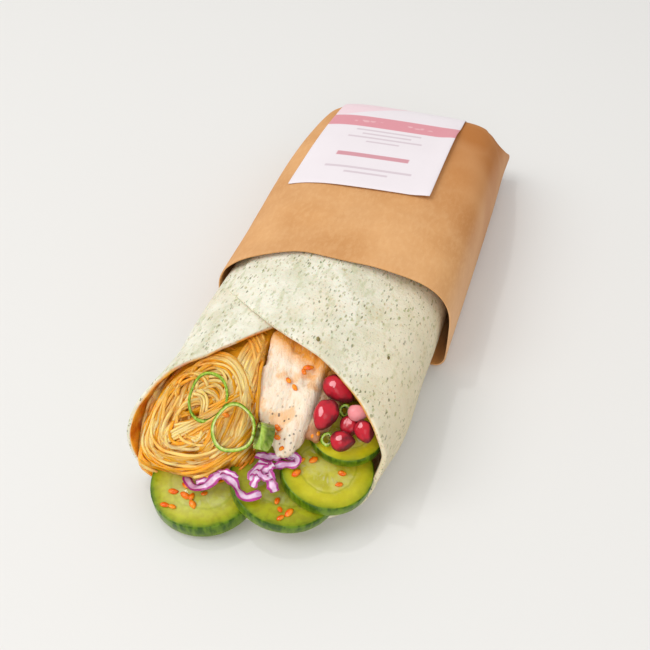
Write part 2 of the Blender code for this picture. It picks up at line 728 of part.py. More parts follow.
def lying(x, y, z, slope_x, slope_y):
    """Placing of a piece that lies on a sloping surface."""
    up = Vector((-slope_x, -slope_y, 1.0)).normalized()
    across = Vector((1.0, 0.0, slope_x)).normalized()
    back = up.cross(across)
    turn = Matrix((across, back, up)).transposed().to_4x4()
    return Matrix.Translation((x, y, z)) @ turn


def build_seed(name, numbers, material):
    """A pomegranate seed: a plump drop with a pointed end."""
    place, length, width, turn, tilt = numbers
    bm = bmesh.new()
    bmesh.ops.create_icosphere(bm, subdivisions=2, radius=1.0)
    for vert in bm.verts:
        t = (vert.co.x + 1.0) / 2.0
        slim = 1.0 - 0.38 * t ** 2
        vert.co.y *= slim
        vert.co.z *= slim
    shape = Matrix.Diagonal((length / 2, width / 2, width / 2, 1.0))
    aim = Matrix.Rotation(math.radians(turn), 4, "Z") @ Matrix.Rotation(math.radians(tilt), 4, "Y")
    bmesh.ops.transform(bm, matrix=Matrix.Translation(place) @ aim @ shape, verts=bm.verts)
    return mesh_object(name, bm, material)


def build_ring(name, numbers, rng, material):
    """A spring onion ring: a short, thin-walled, slightly crumpled tube."""
    place, radius_a, radius_b, height, wall, axis = numbers
    sides = 26 if radius_b > 4.0 else 14
    axis = Vector(axis).normalized()
    across = Vector((1.0, 0.0, 0.0)) if abs(axis.x) < 0.8 else Vector((0.0, 1.0, 0.0))
    across = (across - axis * across.dot(axis)).normalized()
    other = axis.cross(across)
    bm = bmesh.new()
    rings = []
    lump = rng.uniform(0.0, 6.0)
    for out, up in ((0.0, -0.5), (0.0, 0.5), (-wall, 0.5), (-wall, -0.5)):
        ring = []
        for k in range(sides):
            turn = 2.0 * math.pi * k / sides
            wave = 1.0 + 0.035 * math.sin(3.0 * turn + lump)
            a = (radius_a * wave + out) * math.cos(turn)
            b = (radius_b * wave + out) * math.sin(turn)
            point = Vector(place) + across * a + other * b + axis * height * up
            ring.append(bm.verts.new(point))
        rings.append(ring)
    for first, second in zip(rings, rings[1:] + rings[:1]):
        bridge(bm, first, second)
    return mesh_object(name, bm, material)


def build_shred(name, numbers, material):
    """A shred of red cabbage: a wavy strip of even width."""
    width, thick, points = numbers
    route = smooth_route(points, 16)
    bm = bmesh.new()
    rings = []
    for k, point in enumerate(route):
        ahead = route[min(k + 1, len(route) - 1)]
        behind = route[max(k - 1, 0)]
        along = (ahead - behind).normalized()
        roll = 0.5 * math.sin(k * 0.7)
        up = Vector((0.0, math.sin(roll), math.cos(roll)))
        side = along.cross(up).normalized()
        up = side.cross(along)
        taper = 0.7 if k in (0, len(route) - 1) else 1.0
        half = width / 2 * taper
        lift = thick / 2
        corners = ((-half, -lift), (half, -lift), (half, lift), (-half, lift))
        rings.append([bm.verts.new(point + side * a + up * b) for a, b in corners])
    for first, second in zip(rings, rings[1:]):
        bridge(bm, first, second)
    bm.faces.new(rings[0])
    bm.faces.new(rings[-1])
    return mesh_object(name, bm, material)


def main():
    clear_scene()
    rng = random.Random(11)
    bread = plain_material("tortilla", (0.78, 0.74, 0.58), 0.7)
    paper = plain_material("brown_paper", (0.60, 0.33, 0.13), 0.75)
    sheet = plain_material("label_sheet", (0.88, 0.80, 0.84), 0.5)
    noodle = plain_material("glass_noodle", (0.80, 0.52, 0.16), 0.35)
    meat = plain_material("chicken_meat", (0.85, 0.68, 0.48), 0.5)
    flesh = plain_material("cucumber_flesh", (0.50, 0.52, 0.06), 0.3)
    violet = plain_material("cabbage_leaf", (0.45, 0.15, 0.42), 0.4)
    green = plain_material("onion_green", (0.25, 0.42, 0.05), 0.35)
    red = plain_material("pomegranate_flesh", (0.45, 0.01, 0.02), 0.15)

    pieces = [build_tortilla(bread), build_sleeve(paper), build_label(sheet)]
    pieces.append(build_noodles(noodle))
    pieces.extend(build_chicken(meat))
    for name, numbers in CUCUMBERS.items():
        pieces.append(build_slice(name, numbers, rng, flesh, CUCUMBER_SEEDS.get(name, ())))
    for name, numbers in POMEGRANATES.items():
        pieces.append(build_seed(name, numbers, red))
    for name, numbers in ONION_RINGS.items():
        pieces.append(build_ring(name, numbers, rng, green))
    for name, numbers in CABBAGE_SHREDS.items():
        pieces.append(build_shred(name, numbers, violet))

    root = bpy.data.objects.new("wrap", None)
    root.location = (-CENTRE_X * MM, -CENTRE_Y * MM, 0.0)
    bpy.context.scene.collection.objects.link(root)
    for piece in pieces:
        piece.parent = root
    bpy.context.view_layer.update()


main()
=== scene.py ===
# %% [markdown]
# # A grilled chicken wrap in its paper sleeve
# A soft tortilla is rolled round glass noodles, chicken, cucumber, red cabbage, spring
# onion and pomegranate seeds, and its rear half sits in a folded sleeve of brown paper.
# The solids already have the true size and place. This lesson gives each of them the
# surface of the real food: it copies or rebuilds every solid with a finer mesh and
# paints it with procedural materials.

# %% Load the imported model
import math
import random
from functools import cached_property

import bmesh
import bpy
from mathutils import Matrix, Vector, noise
from mathutils.bvhtree import BVHTree


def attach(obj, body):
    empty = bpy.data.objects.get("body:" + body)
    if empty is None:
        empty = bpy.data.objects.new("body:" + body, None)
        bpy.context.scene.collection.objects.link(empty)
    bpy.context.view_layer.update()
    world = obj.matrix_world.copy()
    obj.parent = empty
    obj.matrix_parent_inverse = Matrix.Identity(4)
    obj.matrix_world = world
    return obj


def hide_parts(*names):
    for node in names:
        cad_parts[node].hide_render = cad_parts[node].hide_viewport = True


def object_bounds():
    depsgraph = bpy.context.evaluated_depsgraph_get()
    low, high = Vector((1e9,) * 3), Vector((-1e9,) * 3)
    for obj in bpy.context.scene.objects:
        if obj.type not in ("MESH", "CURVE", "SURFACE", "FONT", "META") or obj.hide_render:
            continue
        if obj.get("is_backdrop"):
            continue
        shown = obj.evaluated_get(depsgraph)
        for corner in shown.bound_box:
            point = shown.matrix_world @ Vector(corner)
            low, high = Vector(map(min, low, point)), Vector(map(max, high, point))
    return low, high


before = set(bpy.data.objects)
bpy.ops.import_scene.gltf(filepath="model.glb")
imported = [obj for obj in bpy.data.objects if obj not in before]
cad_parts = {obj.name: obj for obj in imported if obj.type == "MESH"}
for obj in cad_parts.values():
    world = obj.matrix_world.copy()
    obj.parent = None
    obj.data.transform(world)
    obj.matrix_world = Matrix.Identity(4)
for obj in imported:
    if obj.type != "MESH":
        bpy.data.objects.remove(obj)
cad_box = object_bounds()
print("solids loaded:", len(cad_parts))

# %% [markdown]
# ## Places and sizes
# Everything is given in millimetres from the middle of the mouth, with Y running back
# along the wrap. One function turns such a place into the model's own metres, so that
# no other line has to mention the shift.

# %% Millimetres to metres
MM = 0.001
MOUTH = Vector((0.9, -129.28, 0.0))


def at(x, y, z):
    """A place in millimetres from the mouth, in the model's metres."""
    return (Vector((x, y, z)) + MOUTH) * MM


def from_mouth(place):
    """The same the other way: a place in metres as millimetres from the mouth."""
    return place / MM - MOUTH


def ease(t):
    """A soft step from 0 to 1."""
    t = max(0.0, min(1.0, t))
    return t * t * (3.0 - 2.0 * t)


def ripple(place, size, seed=0.0):
    """Smooth noise from -1 to 1 whose waves are about `size` millimetres long."""
    return noise.noise(place / (size * MM) + Vector((seed, seed * 1.7, -seed)))


print("one noise sample:", round(ripple(at(0, 0, 0), 10.0, 3.0), 3))

# %% [markdown]
# ## Copies of the solids
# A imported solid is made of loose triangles. Merged and joined into quads, a copy of it
# subdivides smoothly, so the fine piece keeps exactly the true shape. Search trees over
# the solids let small things be laid on them.

# %% Helpers for copying, refining and keeping a piece


def triangles_of(nodes):
    """The loose triangles of some solids in one mesh."""
    bm = bmesh.new()
    for node in nodes:
        bm.from_mesh(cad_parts[node].data)
    return bm


def copy_of(node):
    """A solid's own mesh, merged and joined into quads."""
    bm = triangles_of([node])
    bmesh.ops.remove_doubles(bm, verts=bm.verts, dist=0.002 * MM)
    bmesh.ops.join_triangles(bm, faces=bm.faces, angle_face_threshold=0.7,
                             angle_shape_threshold=0.9)
    return bm


def skin_of(*nodes):
    """A search tree over the faces of some solids."""
    bm = triangles_of(nodes)
    tree = BVHTree.FromBMesh(bm)
    bm.free()
    return tree


def meshed(bm, name):
    """Turn the editable mesh into data that an object can show."""
    mesh = bpy.data.meshes.new(name)
    bm.to_mesh(mesh)
    bm.free()
    return mesh


def linked(name, data):
    """A new object in the scene."""
    item = bpy.data.objects.new(name, data)
    bpy.context.scene.collection.objects.link(item)
    return item


def evaluated(item):
    """The object's final mesh; the object itself is removed."""
    graph = bpy.context.evaluated_depsgraph_get()
    bm = bmesh.new()
    bm.from_mesh(item.evaluated_get(graph).to_mesh())
    bpy.data.objects.remove(item, do_unlink=True)
    return bm


def with_modifier(bm, kind, crease=None, **settings):
    """The mesh after one modifier; edges sharper than `crease` radians stay crisp."""
    if crease is not None:
        layer = bm.edges.layers.float.new("crease_edge")
        for edge in bm.edges:
            if edge.calc_face_angle(0.0) > crease:
                edge[layer] = 0.85
    mesh = meshed(bm, "work")
    item = linked("work", mesh)
    modifier = item.modifiers.new("step", kind)
    for name, value in settings.items():
        setattr(modifier, name, value)
    result = evaluated(item)
    bpy.data.meshes.remove(mesh)
    return result


def refined(bm, levels, crease=None):
    """The mesh after Catmull-Clark subdivision."""
    return with_modifier(bm, "SUBSURF", crease, levels=levels, render_levels=levels)


def remeshed(bm, voxel):
    """The mesh as one even skin of small quads, `voxel` millimetres wide."""
    return with_modifier(bm, "REMESH", mode="VOXEL", voxel_size=voxel * MM)


def push(bm, amount):
    """Move each vertex along its normal by amount(place), in millimetres."""
    bm.normal_update()
    moves = [(vert, vert.normal * amount(vert.co) * MM) for vert in bm.verts]
    for vert, move in moves:
        vert.co += move


def number_layers(bm, *names):
    """New layers that keep one number on each vertex."""
    return [bm.verts.layers.float.new(name) for name in names]


def kept(bm, name, material, nodes=(), sharp=60.0):
    """Turn the mesh into a finished piece that rides on the wrap."""
    mesh = meshed(bm, name)
    mesh.materials.append(material)
    mesh.shade_smooth()
    mesh.set_sharp_from_angle(angle=math.radians(sharp))
    piece = linked(name, mesh)
    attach(piece, "root")
    if nodes:
        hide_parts(*nodes)
    mesh.calc_loop_triangles()
    print(name, "has", len(mesh.loop_triangles), "triangles")


print("the tortilla's copy has", len(copy_of("tortilla").faces), "faces")

# %% [markdown]
# ## Shader maths as Python
# A material is a small formula over the surface. Wrapping a socket in a class whose
# operators add Math nodes lets the formula be written as it would be on paper. Colours
# go through Mix nodes, because Math nodes only know single numbers.

# %% The two classes that build materials


class Flow:
    """One output socket, on which Python's operators add Math nodes."""

    def __init__(self, finish, socket):
        self.finish = finish
        self.socket = socket

    def maths(self, operation, *others):
        return self.finish.maths(operation, self, *others)

    def __add__(self, other):
        return self.maths("ADD", other)

    def __sub__(self, other):
        return self.maths("SUBTRACT", other)

    def __mul__(self, other):
        return self.maths("MULTIPLY", other)

    def __truediv__(self, other):
        return self.maths("DIVIDE", other)

    def __pow__(self, other):
        return self.maths("POWER", other)

    def __radd__(self, other):
        return self.finish.maths("ADD", other, self)

    def __rsub__(self, other):
        return self.finish.maths("SUBTRACT", other, self)

    def __rmul__(self, other):
        return self.finish.maths("MULTIPLY", other, self)

    def above(self, edge, soft=0.02):
        """0 below the edge, 1 above it, with a soft step between."""
        return self.finish.node("MapRange", {"interpolation_type": "SMOOTHSTEP"},
                                {"Value": self, "From Min": edge - soft, "From Max": edge + soft})

    def below(self, edge, soft=0.02):
        return 1.0 - self.above(edge, soft)

    def between(self, low, high, soft=0.02):
        return self.above(low, soft) * self.below(high, soft)


class Finish:
    """A material under construction."""

    def __init__(self, name, **constants):
        self.material = bpy.data.materials.new(name)
        self.material.use_nodes = True
        self.tree = self.material.node_tree
        self.shader = self.tree.nodes["Principled BSDF"]
        self.paint(**constants)

    def paint(self, **flows):
        """Feed the shader with flows or constants; base_color goes into Base Color."""
        for key, value in flows.items():
            label = key.replace("_", " ").title().replace("Ior", "IOR")
            self.feed(self.shader.inputs[label], value)
        return self.material

    def feed(self, socket, value):
        if isinstance(value, Flow):
            self.tree.links.new(value.socket, socket)
        elif socket.type == "RGBA":
            socket.default_value = (*value, 1.0)
        else:
            socket.default_value = value

    def node(self, kind, settings=None, sockets=None, out=0):
        """Add any node: its settings first, then its sockets; returns one output."""
        item = self.tree.nodes.new("ShaderNode" + kind)
        for name, value in (settings or {}).items():
            setattr(item, name, value)
        for name, value in (sockets or {}).items():
            self.feed(item.inputs[name], value)
        return Flow(self, item.outputs[out])

    def maths(self, operation, *values):
        return self.node("Math", {"operation": operation}, dict(enumerate(values)))

    @cached_property
    def place(self):
        """The surface's own place, in metres."""
        return self.node("TexCoord", out=3)

    def stretched(self, scale, turn=(0.0, 0.0, 0.0), where=None):
        return self.node("Mapping", None, {"Vector": where or self.place, "Scale": scale,
                                           "Rotation": turn})

    def warped(self, scale, amount):
        """The place shaken by smooth noise, so that patterns lose their regular shapes."""
        shake = self.node("TexNoise", None, {"Vector": self.place, "Scale": scale,
                                             "Detail": 2.0}, out=1)
        return self.node("VectorMath", {"operation": "MULTIPLY_ADD"},
                         {0: shake, 1: (amount,) * 3, 2: self.place})

    def kept_value(self, name):
        """A number stored on the piece's own vertices."""
        return self.node("Attribute", {"attribute_name": name}, out=2)

    def kept_vector(self, name):
        return self.node("Attribute", {"attribute_name": name}, out=1)

    def part_of(self, vector, axis):
        return self.node("SeparateXYZ", None, {"Vector": vector}, out=axis)

    def clouds(self, scale, detail=2.0, rough=0.5, where=None):
        return self.node("TexNoise", None, {"Vector": where or self.place, "Scale": scale,
                                            "Detail": detail, "Roughness": rough})

    def cells(self, scale, where=None, out=0, random=1.0):
        return self.node("TexVoronoi", None, {"Vector": where or self.place, "Scale": scale,
                                              "Randomness": random}, out)

    def hearts(self, scale, share, edge, where=None):
        """The middles of a share of the cells."""
        chosen = self.part_of(self.cells(scale, where, 1), 0).below(share, 0.01)
        return self.cells(scale, where).below(edge, 0.06) * chosen

    def tint(self, factor, first, second):
        """A colour that turns from the first to the second."""
        return self.node("Mix", {"data_type": "RGBA"}, {0: factor, 6: first, 7: second}, 2)

    def coats(self, tone, *layers):
        """The tone under thin coats of other colours, each with its factor."""
        for factor, colour in layers:
            tone = self.tint(factor, tone, colour)
        return tone

    def bumps(self, height, strength, distance):
        """Relief in metres from a height between 0 and 1."""
        self.paint(normal=self.node("Bump", None, {"Height": height, "Strength": strength,
                                                   "Distance": distance}))


print("shader helpers ready")

# %% [markdown]
# ## Camera and light
# The wrap lies on a pale table. The camera looks along it from the mouth, from above
# and a little to the right. A broad soft lamp at the upper left gives the gentle shading
# and the faint shadow on the right, and a weak one fills the front. A small lamp behind
# adds crisp sparks to everything wet.

# %% Camera
ELEVATION = math.radians(42.0)
AZIMUTH = math.radians(18.5)
camera_data = bpy.data.cameras.new("camera")
camera_data.sensor_width = 36.0
camera_data.lens = 44.3077
camera_data.clip_start = 0.01
camera = linked("camera", camera_data)
camera.location = at(76.944, -133.874, 236.255)
look = Vector((-math.sin(AZIMUTH) * math.cos(ELEVATION),
               math.cos(AZIMUTH) * math.cos(ELEVATION), -math.sin(ELEVATION)))
camera.rotation_euler = look.to_track_quat("-Z", "Y").to_euler()
bpy.context.scene.camera = camera
bpy.context.scene.view_settings.view_transform = "Standard"
print("camera height in mm:", round(camera.location.z / MM, 1))

# %% [markdown]
# ## Lamps, sky and table
# Round area lamps throw soft shadows: the wider the lamp, the softer the edge. The sky
# adds the even light of a bright room. The table is a plain grid that is only there
# for the picture, so it is marked as backdrop.

# %% Lamps, sky and table


def lamp(name, place, target, size, power, colour):
    data = bpy.data.lights.new(name, "AREA")
    data.shape = "DISK"
    data.size = size
    data.energy = power
    data.color = colour
    item = linked(name, data)
    item.location = place
    item.rotation_euler = (Vector(target) - Vector(place)).to_track_quat("-Z", "Y").to_euler()


lamp("soft_key", (-1.9, -1.1, 2.6), (0.0, 0.0, 0.0), 2.6, 48.0, (1.0, 0.985, 0.95))
lamp("front_fill", (0.5, -1.5, 1.0), (0.0, -0.05, 0.02), 1.2, 9.0, (1.0, 0.99, 0.97))
lamp("sparkle", (-0.55, 0.25, 1.25), (0.0, -0.08, 0.02), 0.06, 1.6, (1.0, 1.0, 0.98))

sky = bpy.data.worlds.new("studio")
sky.use_nodes = True
background = sky.node_tree.nodes["Background"].inputs
background["Color"].default_value = (1.0, 0.99, 0.975, 1.0)
background["Strength"].default_value = 0.71
bpy.context.scene.world = sky

table_bm = bmesh.new()
bmesh.ops.create_grid(table_bm, x_segments=2, y_segments=2, size=2.0)
table = linked("table", meshed(table_bm, "table"))
table_finish = Finish("pale_table", roughness=0.6, base_color=(0.73, 0.726, 0.716))
table.data.materials.append(table_finish.material)
table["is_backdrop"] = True
print("table is", round(table.dimensions.x, 2), "m wide")

# %% [markdown]
# ## The tortilla's finish
# A wheat tortilla with herbs is cream-white and matt. It carries short dark green
# flecks of herb, paler olive ones that lie deeper, and tan spots where it touched the
# griddle. Flecks are Voronoi cells: only the heart of some cells is painted, and the
# cells are stretched so that the flecks are longer than wide. A value stored on the
# inner face stains it with sauce.

# %% Tortilla finish


def tortilla_finish():
    f = Finish("herb_tortilla", subsurface_weight=0.10, subsurface_scale=0.002)
    shaken = f.warped(700.0, 0.0012)
    drawn = f.stretched((1.0, 0.30, 1.0), (0.0, 0.0, 0.5), shaken)
    smear = f.clouds(420.0, 3.0, where=drawn)
    # east: the right side of the sheet, painted darker tan as painted shade.
    east = f.part_of(f.place, 0).above(0.030, 0.022)
    cream = f.coats(
        f.tint(f.clouds(75.0, 5.0, 0.65).above(0.5, 0.16), (0.65, 0.63, 0.48), (0.81, 0.79, 0.67)),
        (f.clouds(34.0, 3.0, 0.6).above(0.62, 0.07) * 0.30, (0.68, 0.56, 0.36)),
        (smear.above(0.60, 0.07) * 0.38, (0.40, 0.43, 0.20)),
        (east * 0.70, (0.68, 0.57, 0.36)))

    def flecks(turn, size, share, edge, long):
        """Hearts of cells that are drawn out along the sheet."""
        return f.hearts(size, share, edge, f.stretched((1.0, long, 1.0), (0.0, 0.0, turn), shaken))

    thick = f.clouds(48.0).above(0.48, 0.16)
    olive = flecks(-0.5, 620.0, 0.60, 0.27, 0.42) * (0.30 + thick * 0.35)
    herb = flecks(0.5, 780.0, 0.42, 0.24, 0.36) * (0.30 + thick * 0.45)
    stain = f.kept_value("stain")
    sauce = f.tint(f.clouds(110.0, 3.0).above(0.5, 0.12), (0.62, 0.17, 0.004), (0.84, 0.44, 0.03))
    skin = f.coats(
        cream,
        (flecks(0.9, 460.0, 0.40, 0.25, 0.7) * (0.08 + thick * 0.28), (0.56, 0.36, 0.13)),
        (olive, (0.31, 0.32, 0.12)),
        (herb, (0.085, 0.105, 0.022)),
        (flecks(1.1, 980.0, 0.38, 0.22, 0.40) * (0.25 + thick * 0.4), (0.20, 0.12, 0.04)),
        (flecks(-0.2, 210.0, 0.020, 0.11, 0.45) * 0.9, (0.05, 0.05, 0.015)),
        (stain * f.clouds(140.0, 3.0).above(0.36, 0.18), sauce))
    grain = f.clouds(1100.0, 3.0, 0.7) * 0.4 + f.clouds(300.0, 4.0, 0.6) * 0.6
    f.bumps(grain - (herb + olive) * 0.12, 0.75, 0.0009)
    return f.paint(base_color=skin, roughness=0.74 - stain * 0.42)


tortilla_material = tortilla_finish()
print("tortilla finish:", len(tortilla_material.node_tree.nodes), "nodes")

# %% [markdown]
# ## The tortilla
# The real sheet is soft: its cut edge wavers, and its surface swells a little over the
# filling. The copy of the solid is subdivided twice and then moved by smooth noise. The
# waver is strongest at the rim, so the distance to the rim is measured first.

# %% Tortilla piece


def rim_of(bm, limit):
    """A search tree over the faces that look forward at the mouth."""
    front = bmesh.new()
    for face in bm.faces:
        if face.normal.y < -0.55 and face.calc_center_median().y < limit:
            front.faces.new([front.verts.new(v.co) for v in face.verts])
    tree = BVHTree.FromBMesh(front)
    front.free()
    return tree


def build_tortilla():
    bm = copy_of("tortilla")
    rim = rim_of(bm, at(0, 100, 0).y)
    bm = refined(bm, 2)

    def outward(vert):
        away = from_mouth(vert.co) - Vector((0.5, 0.0, 22.0))
        return Vector((away.x, 0.0, away.z)).normalized()

    for vert in bm.verts:
        near = math.exp(-(rim.find_nearest(vert.co)[3] / (5.0 * MM)) ** 2)
        open_part = 1.0 - ease((from_mouth(vert.co).y - 88.0) / 14.0)
        waver = ripple(vert.co, 16.0, 2.0) * 0.55 + ripple(vert.co, 6.0, 5.0) * 0.22
        swell = ripple(vert.co, 34.0, 9.0) * 0.9 * open_part
        vert.co += outward(vert) * (swell + waver * near * 0.9) * MM
        vert.co.y += waver * 1.3 * near * MM
        vert.co.z = max(vert.co.z, 0.3 * MM)
    push(bm, lambda p: ripple(p, 3.2, 1.0) * 0.10)
    stain, = number_layers(bm, "stain")
    bm.normal_update()
    for vert in bm.verts:
        p = from_mouth(vert.co)
        inside = ease((-vert.normal.dot(outward(vert)) - 0.1) / 0.5)
        dry = ease((p.x - 14.0) / 16.0) * (1.0 - ease((p.z - 27.0) / 10.0))
        vert[stain] = inside * (1.0 - 0.75 * dry)
    kept(bm, "tortilla_sheet", tortilla_material, ("tortilla",))


build_tortilla()

# %% [markdown]
# ## The paper sleeve
# Brown wrapping paper shows faint fibres and cloudy shading. It bends in broad soft
# waves, is creased along its folds and a little crumpled at the sides. Creased edges
# keep the folds crisp while the rest is subdivided.

# %% Paper finish and piece


def paper_finish():
    f = Finish("brown_paper", specular_ior_level=0.25)
    fibre = f.clouds(620.0, 4.0, 0.65, f.stretched((1.0, 0.45, 1.0)))
    cross = f.clouds(700.0, 2.0, 0.6, f.stretched((0.2, 1.0, 1.0)))
    cloud = f.clouds(24.0, 4.0, 0.6)
    creased = f.cells(42.0, f.warped(45.0, 0.010), random=0.9)
    x = f.part_of(f.place, 0)
    # back: the rear and the right of the sleeve, painted deeper orange as painted shade.
    back = (f.part_of(f.place, 1) + x * 0.9).above(0.075, 0.050)
    tone = f.coats(
        f.tint(cloud.above(0.5, 0.25), (0.55, 0.265, 0.095), (0.68, 0.36, 0.145)),
        (fibre.above(0.55, 0.15) * 0.22, (0.80, 0.50, 0.25)),
        (f.cells(700.0).below(0.10, 0.05) * 0.25, (0.25, 0.10, 0.03)),
        (back * 0.9, (0.42, 0.145, 0.025)),
        # The inside of the open front is painted darker orange as painted shade.
        (f.kept_value("painted_inner_shade") * 0.7, (0.58, 0.24, 0.055)),
        (x.above(0.0485, 0.0025) * 0.25, (0.84, 0.60, 0.42)),
        (creased.above(0.55, 0.3) * 0.18, (0.82, 0.52, 0.27)))
    f.bumps(fibre * 0.08 + cross * 0.03 + cloud * 0.25 + creased * 0.30, 0.55, 0.0022)
    return f.paint(base_color=tone, roughness=0.74 + fibre * 0.12)


paper_material = paper_finish()
SHARP_FOLD = math.radians(32.0)


def build_sleeve():
    bm = refined(copy_of("paper_sleeve"), 3, SHARP_FOLD)
    painted_inner_shade, = number_layers(bm, "painted_inner_shade")
    bm.normal_update()
    for vert in bm.verts:
        p = vert.co
        x, y, z = from_mouth(p) - Vector((-0.5, 105.0, 0.0))
        # Faces that look inwards near the open front get painted shade.
        inward = -vert.normal.dot(Vector((x, 0.0, z - 20.0)).normalized())
        vert[painted_inner_shade] = ease((inward - 0.05) / 0.4) * (1.0 - ease(y / 40.0))
        waves = ripple(p, 30.0, 4.0) * 0.55 + ripple(p, 11.0, 6.0) * 0.18
        crumple = abs(ripple(Vector((p.x, p.y * 0.6, p.z * 1.6)), 14.0, 8.0)) * 0.5
        side = ease((abs(x) - 36.0) / 10.0)
        edge = math.exp(-(y / 6.0) ** 2)
        bent = waves + (0.25 - crumple) * 0.8 * side
        vert.co.z += bent * ease((z - 4.0) / 14.0) * 0.8 * MM
        vert.co.y += edge * (ripple(p, 22.0, 3.0) * 1.1 + 0.2) * MM
    kept(bm, "paper_sleeve_fine", paper_material, ("paper_sleeve",), 40.0)


build_sleeve()

# %% [markdown]
# ## The label
# The label is a thin coated sheet, pale lilac-white, with a rose band near its far end.
# What is printed on it is kept to plain bars. Its right edge has come loose and stands
# up a little, which throws a narrow shadow on the paper.

# %% Label finish and piece


def label_finish():
    f = Finish("label_sheet", coat_weight=0.15, coat_roughness=0.35)
    x = f.part_of(f.place, 0) / MM - (MOUTH.x - 37.0)
    y = f.part_of(f.place, 1) / MM - (MOUTH.y + 154.0)
    v = y - x * 0.07 * (1.0 - y / 93.0)

    def bar(x0, x1, v0, v1):
        return x.between(x0, x1, 0.4) * v.between(v0, v1, 0.3)

    grey = sum(bar(*box) for box in (
        (22, 42, 11.0, 12.6), (12, 52, 15.0, 16.8), (24, 40, 41.0, 42.4),
        (14, 50, 45.0, 46.6), (20, 44, 49.0, 50.6), (16, 48, 53.0, 54.6)))
    dashes = bar(12, 52, 62.5, 65.0) * f.cells(330.0).below(0.45, 0.1)
    corner = (x * 0.55 + (82.0 - v)).below(14.0, 0.6) * v.above(71.0, 0.5)
    tone = f.coats(
        f.tint(f.clouds(40.0, 3.0), (0.75, 0.69, 0.73), (0.81, 0.76, 0.80)),
        (grey * 0.55, (0.50, 0.38, 0.44)),
        (bar(14, 48, 26.0, 29.6) * 0.75, (0.55, 0.12, 0.17)),
        (v.between(57.5, 70.0, 0.3) * 0.95, (0.67, 0.23, 0.28)),
        (dashes * 0.5, (0.84, 0.55, 0.58)),
        (corner * 0.4, (0.84, 0.45, 0.52)))
    f.bumps(f.clouds(600.0), 0.1, 0.0002)
    return f.paint(base_color=tone, roughness=0.42)


label_material = label_finish()


def build_label():
    bm = refined(copy_of("label"), 2, SHARP_FOLD)
    for vert in bm.verts:
        p = from_mouth(vert.co)
        loose = ease((p.x - 14.0) / 13.0) * (1.0 - ease((p.y - 216.0) / 20.0))
        vert.co.z += (1.3 * loose ** 2 + 0.12 * ripple(vert.co, 18.0, 7.0)) * MM
        vert.co.x -= 0.3 * loose ** 2 * MM
    kept(bm, "label_fine", label_material, ("label",), 40.0)


build_label()

# %% [markdown]
# ## Cucumber slices
# A slice is a flat disc with a thin dark rind, a pale wall and a translucent middle
# where soft seeds sit in three groups. The disc is made upright at the origin with a
# circle that is inset, extruded and bevelled. Its own coordinates are stored on the
# vertices before it is laid down, so the pattern of the cut stays centred.

# %% Cucumber finish


def cucumber_finish():
    f = Finish("cucumber_flesh", subsurface_weight=0.25, subsurface_scale=0.003,
               subsurface_radius=(1.0, 0.9, 0.15), coat_weight=0.20, coat_roughness=0.08,
               specular_ior_level=0.15)
    cut = f.kept_vector("cut")
    x, y, low = (f.part_of(cut, axis) for axis in range(3))
    reach = (x * x + y * y) ** 0.5 + (f.clouds(2.6, 3.0, where=cut) - 0.5) * 0.16
    angle = f.maths("ARCTAN2", y, x)
    lobe = f.maths("COSINE", angle * 3.0)
    soft = f.clouds(130.0, 3.0)
    wall = f.tint(soft.above(0.5, 0.2), (0.70, 0.60, 0.012), (0.86, 0.76, 0.05))
    heart = f.tint(soft.above(0.5, 0.2), (0.88, 0.76, 0.06), (0.97, 0.90, 0.27))
    spot = f.node("CombineXYZ", None, {"X": angle * 3.4, "Y": reach * 4.2, "Z": 0.5})
    pip = f.cells(1.0, f.stretched((1.0, 0.6, 1.0), where=spot), random=0.75).below(0.26, 0.05)
    pips = pip * reach.between(0.24, 0.56, 0.05)
    milky = f.clouds(210.0, 4.0, 0.6).above(0.54, 0.10) * reach.below(0.66, 0.10)
    east = f.part_of(f.place, 0)
    flesh = f.coats(
        f.tint(reach.below(0.58, 0.08), wall, heart),
        (reach.between(0.16, 0.54, 0.05) * lobe.above(0.05, 0.35) * 0.75, (0.60, 0.52, 0.02)),
        (pips * 0.8, (0.86, 0.80, 0.42)),
        (milky * 0.55, (0.98, 0.93, 0.46)),
        (reach.between(0.585, 0.625) * 0.55, (0.38, 0.40, 0.015)),
        (reach.above(0.88, 0.11) * 0.8, (0.27, 0.37, 0.010)),
        (reach.above(0.955, 0.035) * 0.8, (0.09, 0.18, 0.004)),
        # Slices on the right are painted darker as painted shade, and the left slice's middle
        # brighter as painted light.
        (east.above(0.008, 0.012) * 0.36, (0.50, 0.41, 0.004)),
        (east.below(-0.004, 0.010) * reach.below(0.80, 0.10) * 0.45, (1.00, 0.95, 0.22)))
    streak = f.clouds(520.0, 3.0, where=f.stretched((1.0, 1.0, 0.25))).above(0.5, 0.14)
    rind = f.coats(f.tint(streak, (0.030, 0.088, 0.001), (0.12, 0.22, 0.004)),
                   (low.below(0.30, 0.3) * 0.4, (0.26, 0.36, 0.010)))
    f.bumps(f.clouds(520.0, 3.0) * 0.6 + pips * 0.4, 0.30, 0.0005)
    return f.paint(base_color=f.tint(f.kept_value("rind"), flesh, rind),
                   roughness=0.24 + soft * 0.16)


cucumber_material = cucumber_finish()
print("cucumber finish:", len(cucumber_material.node_tree.nodes), "nodes")

# %% [markdown]
# ## Four slices
# One row of numbers says where a slice's underside lies, how wide it is and how it
# leans. Its face is inset again and again from the rim inwards, so that the rings of
# faces can follow the slight dents of the cut, and both rims are bevelled.

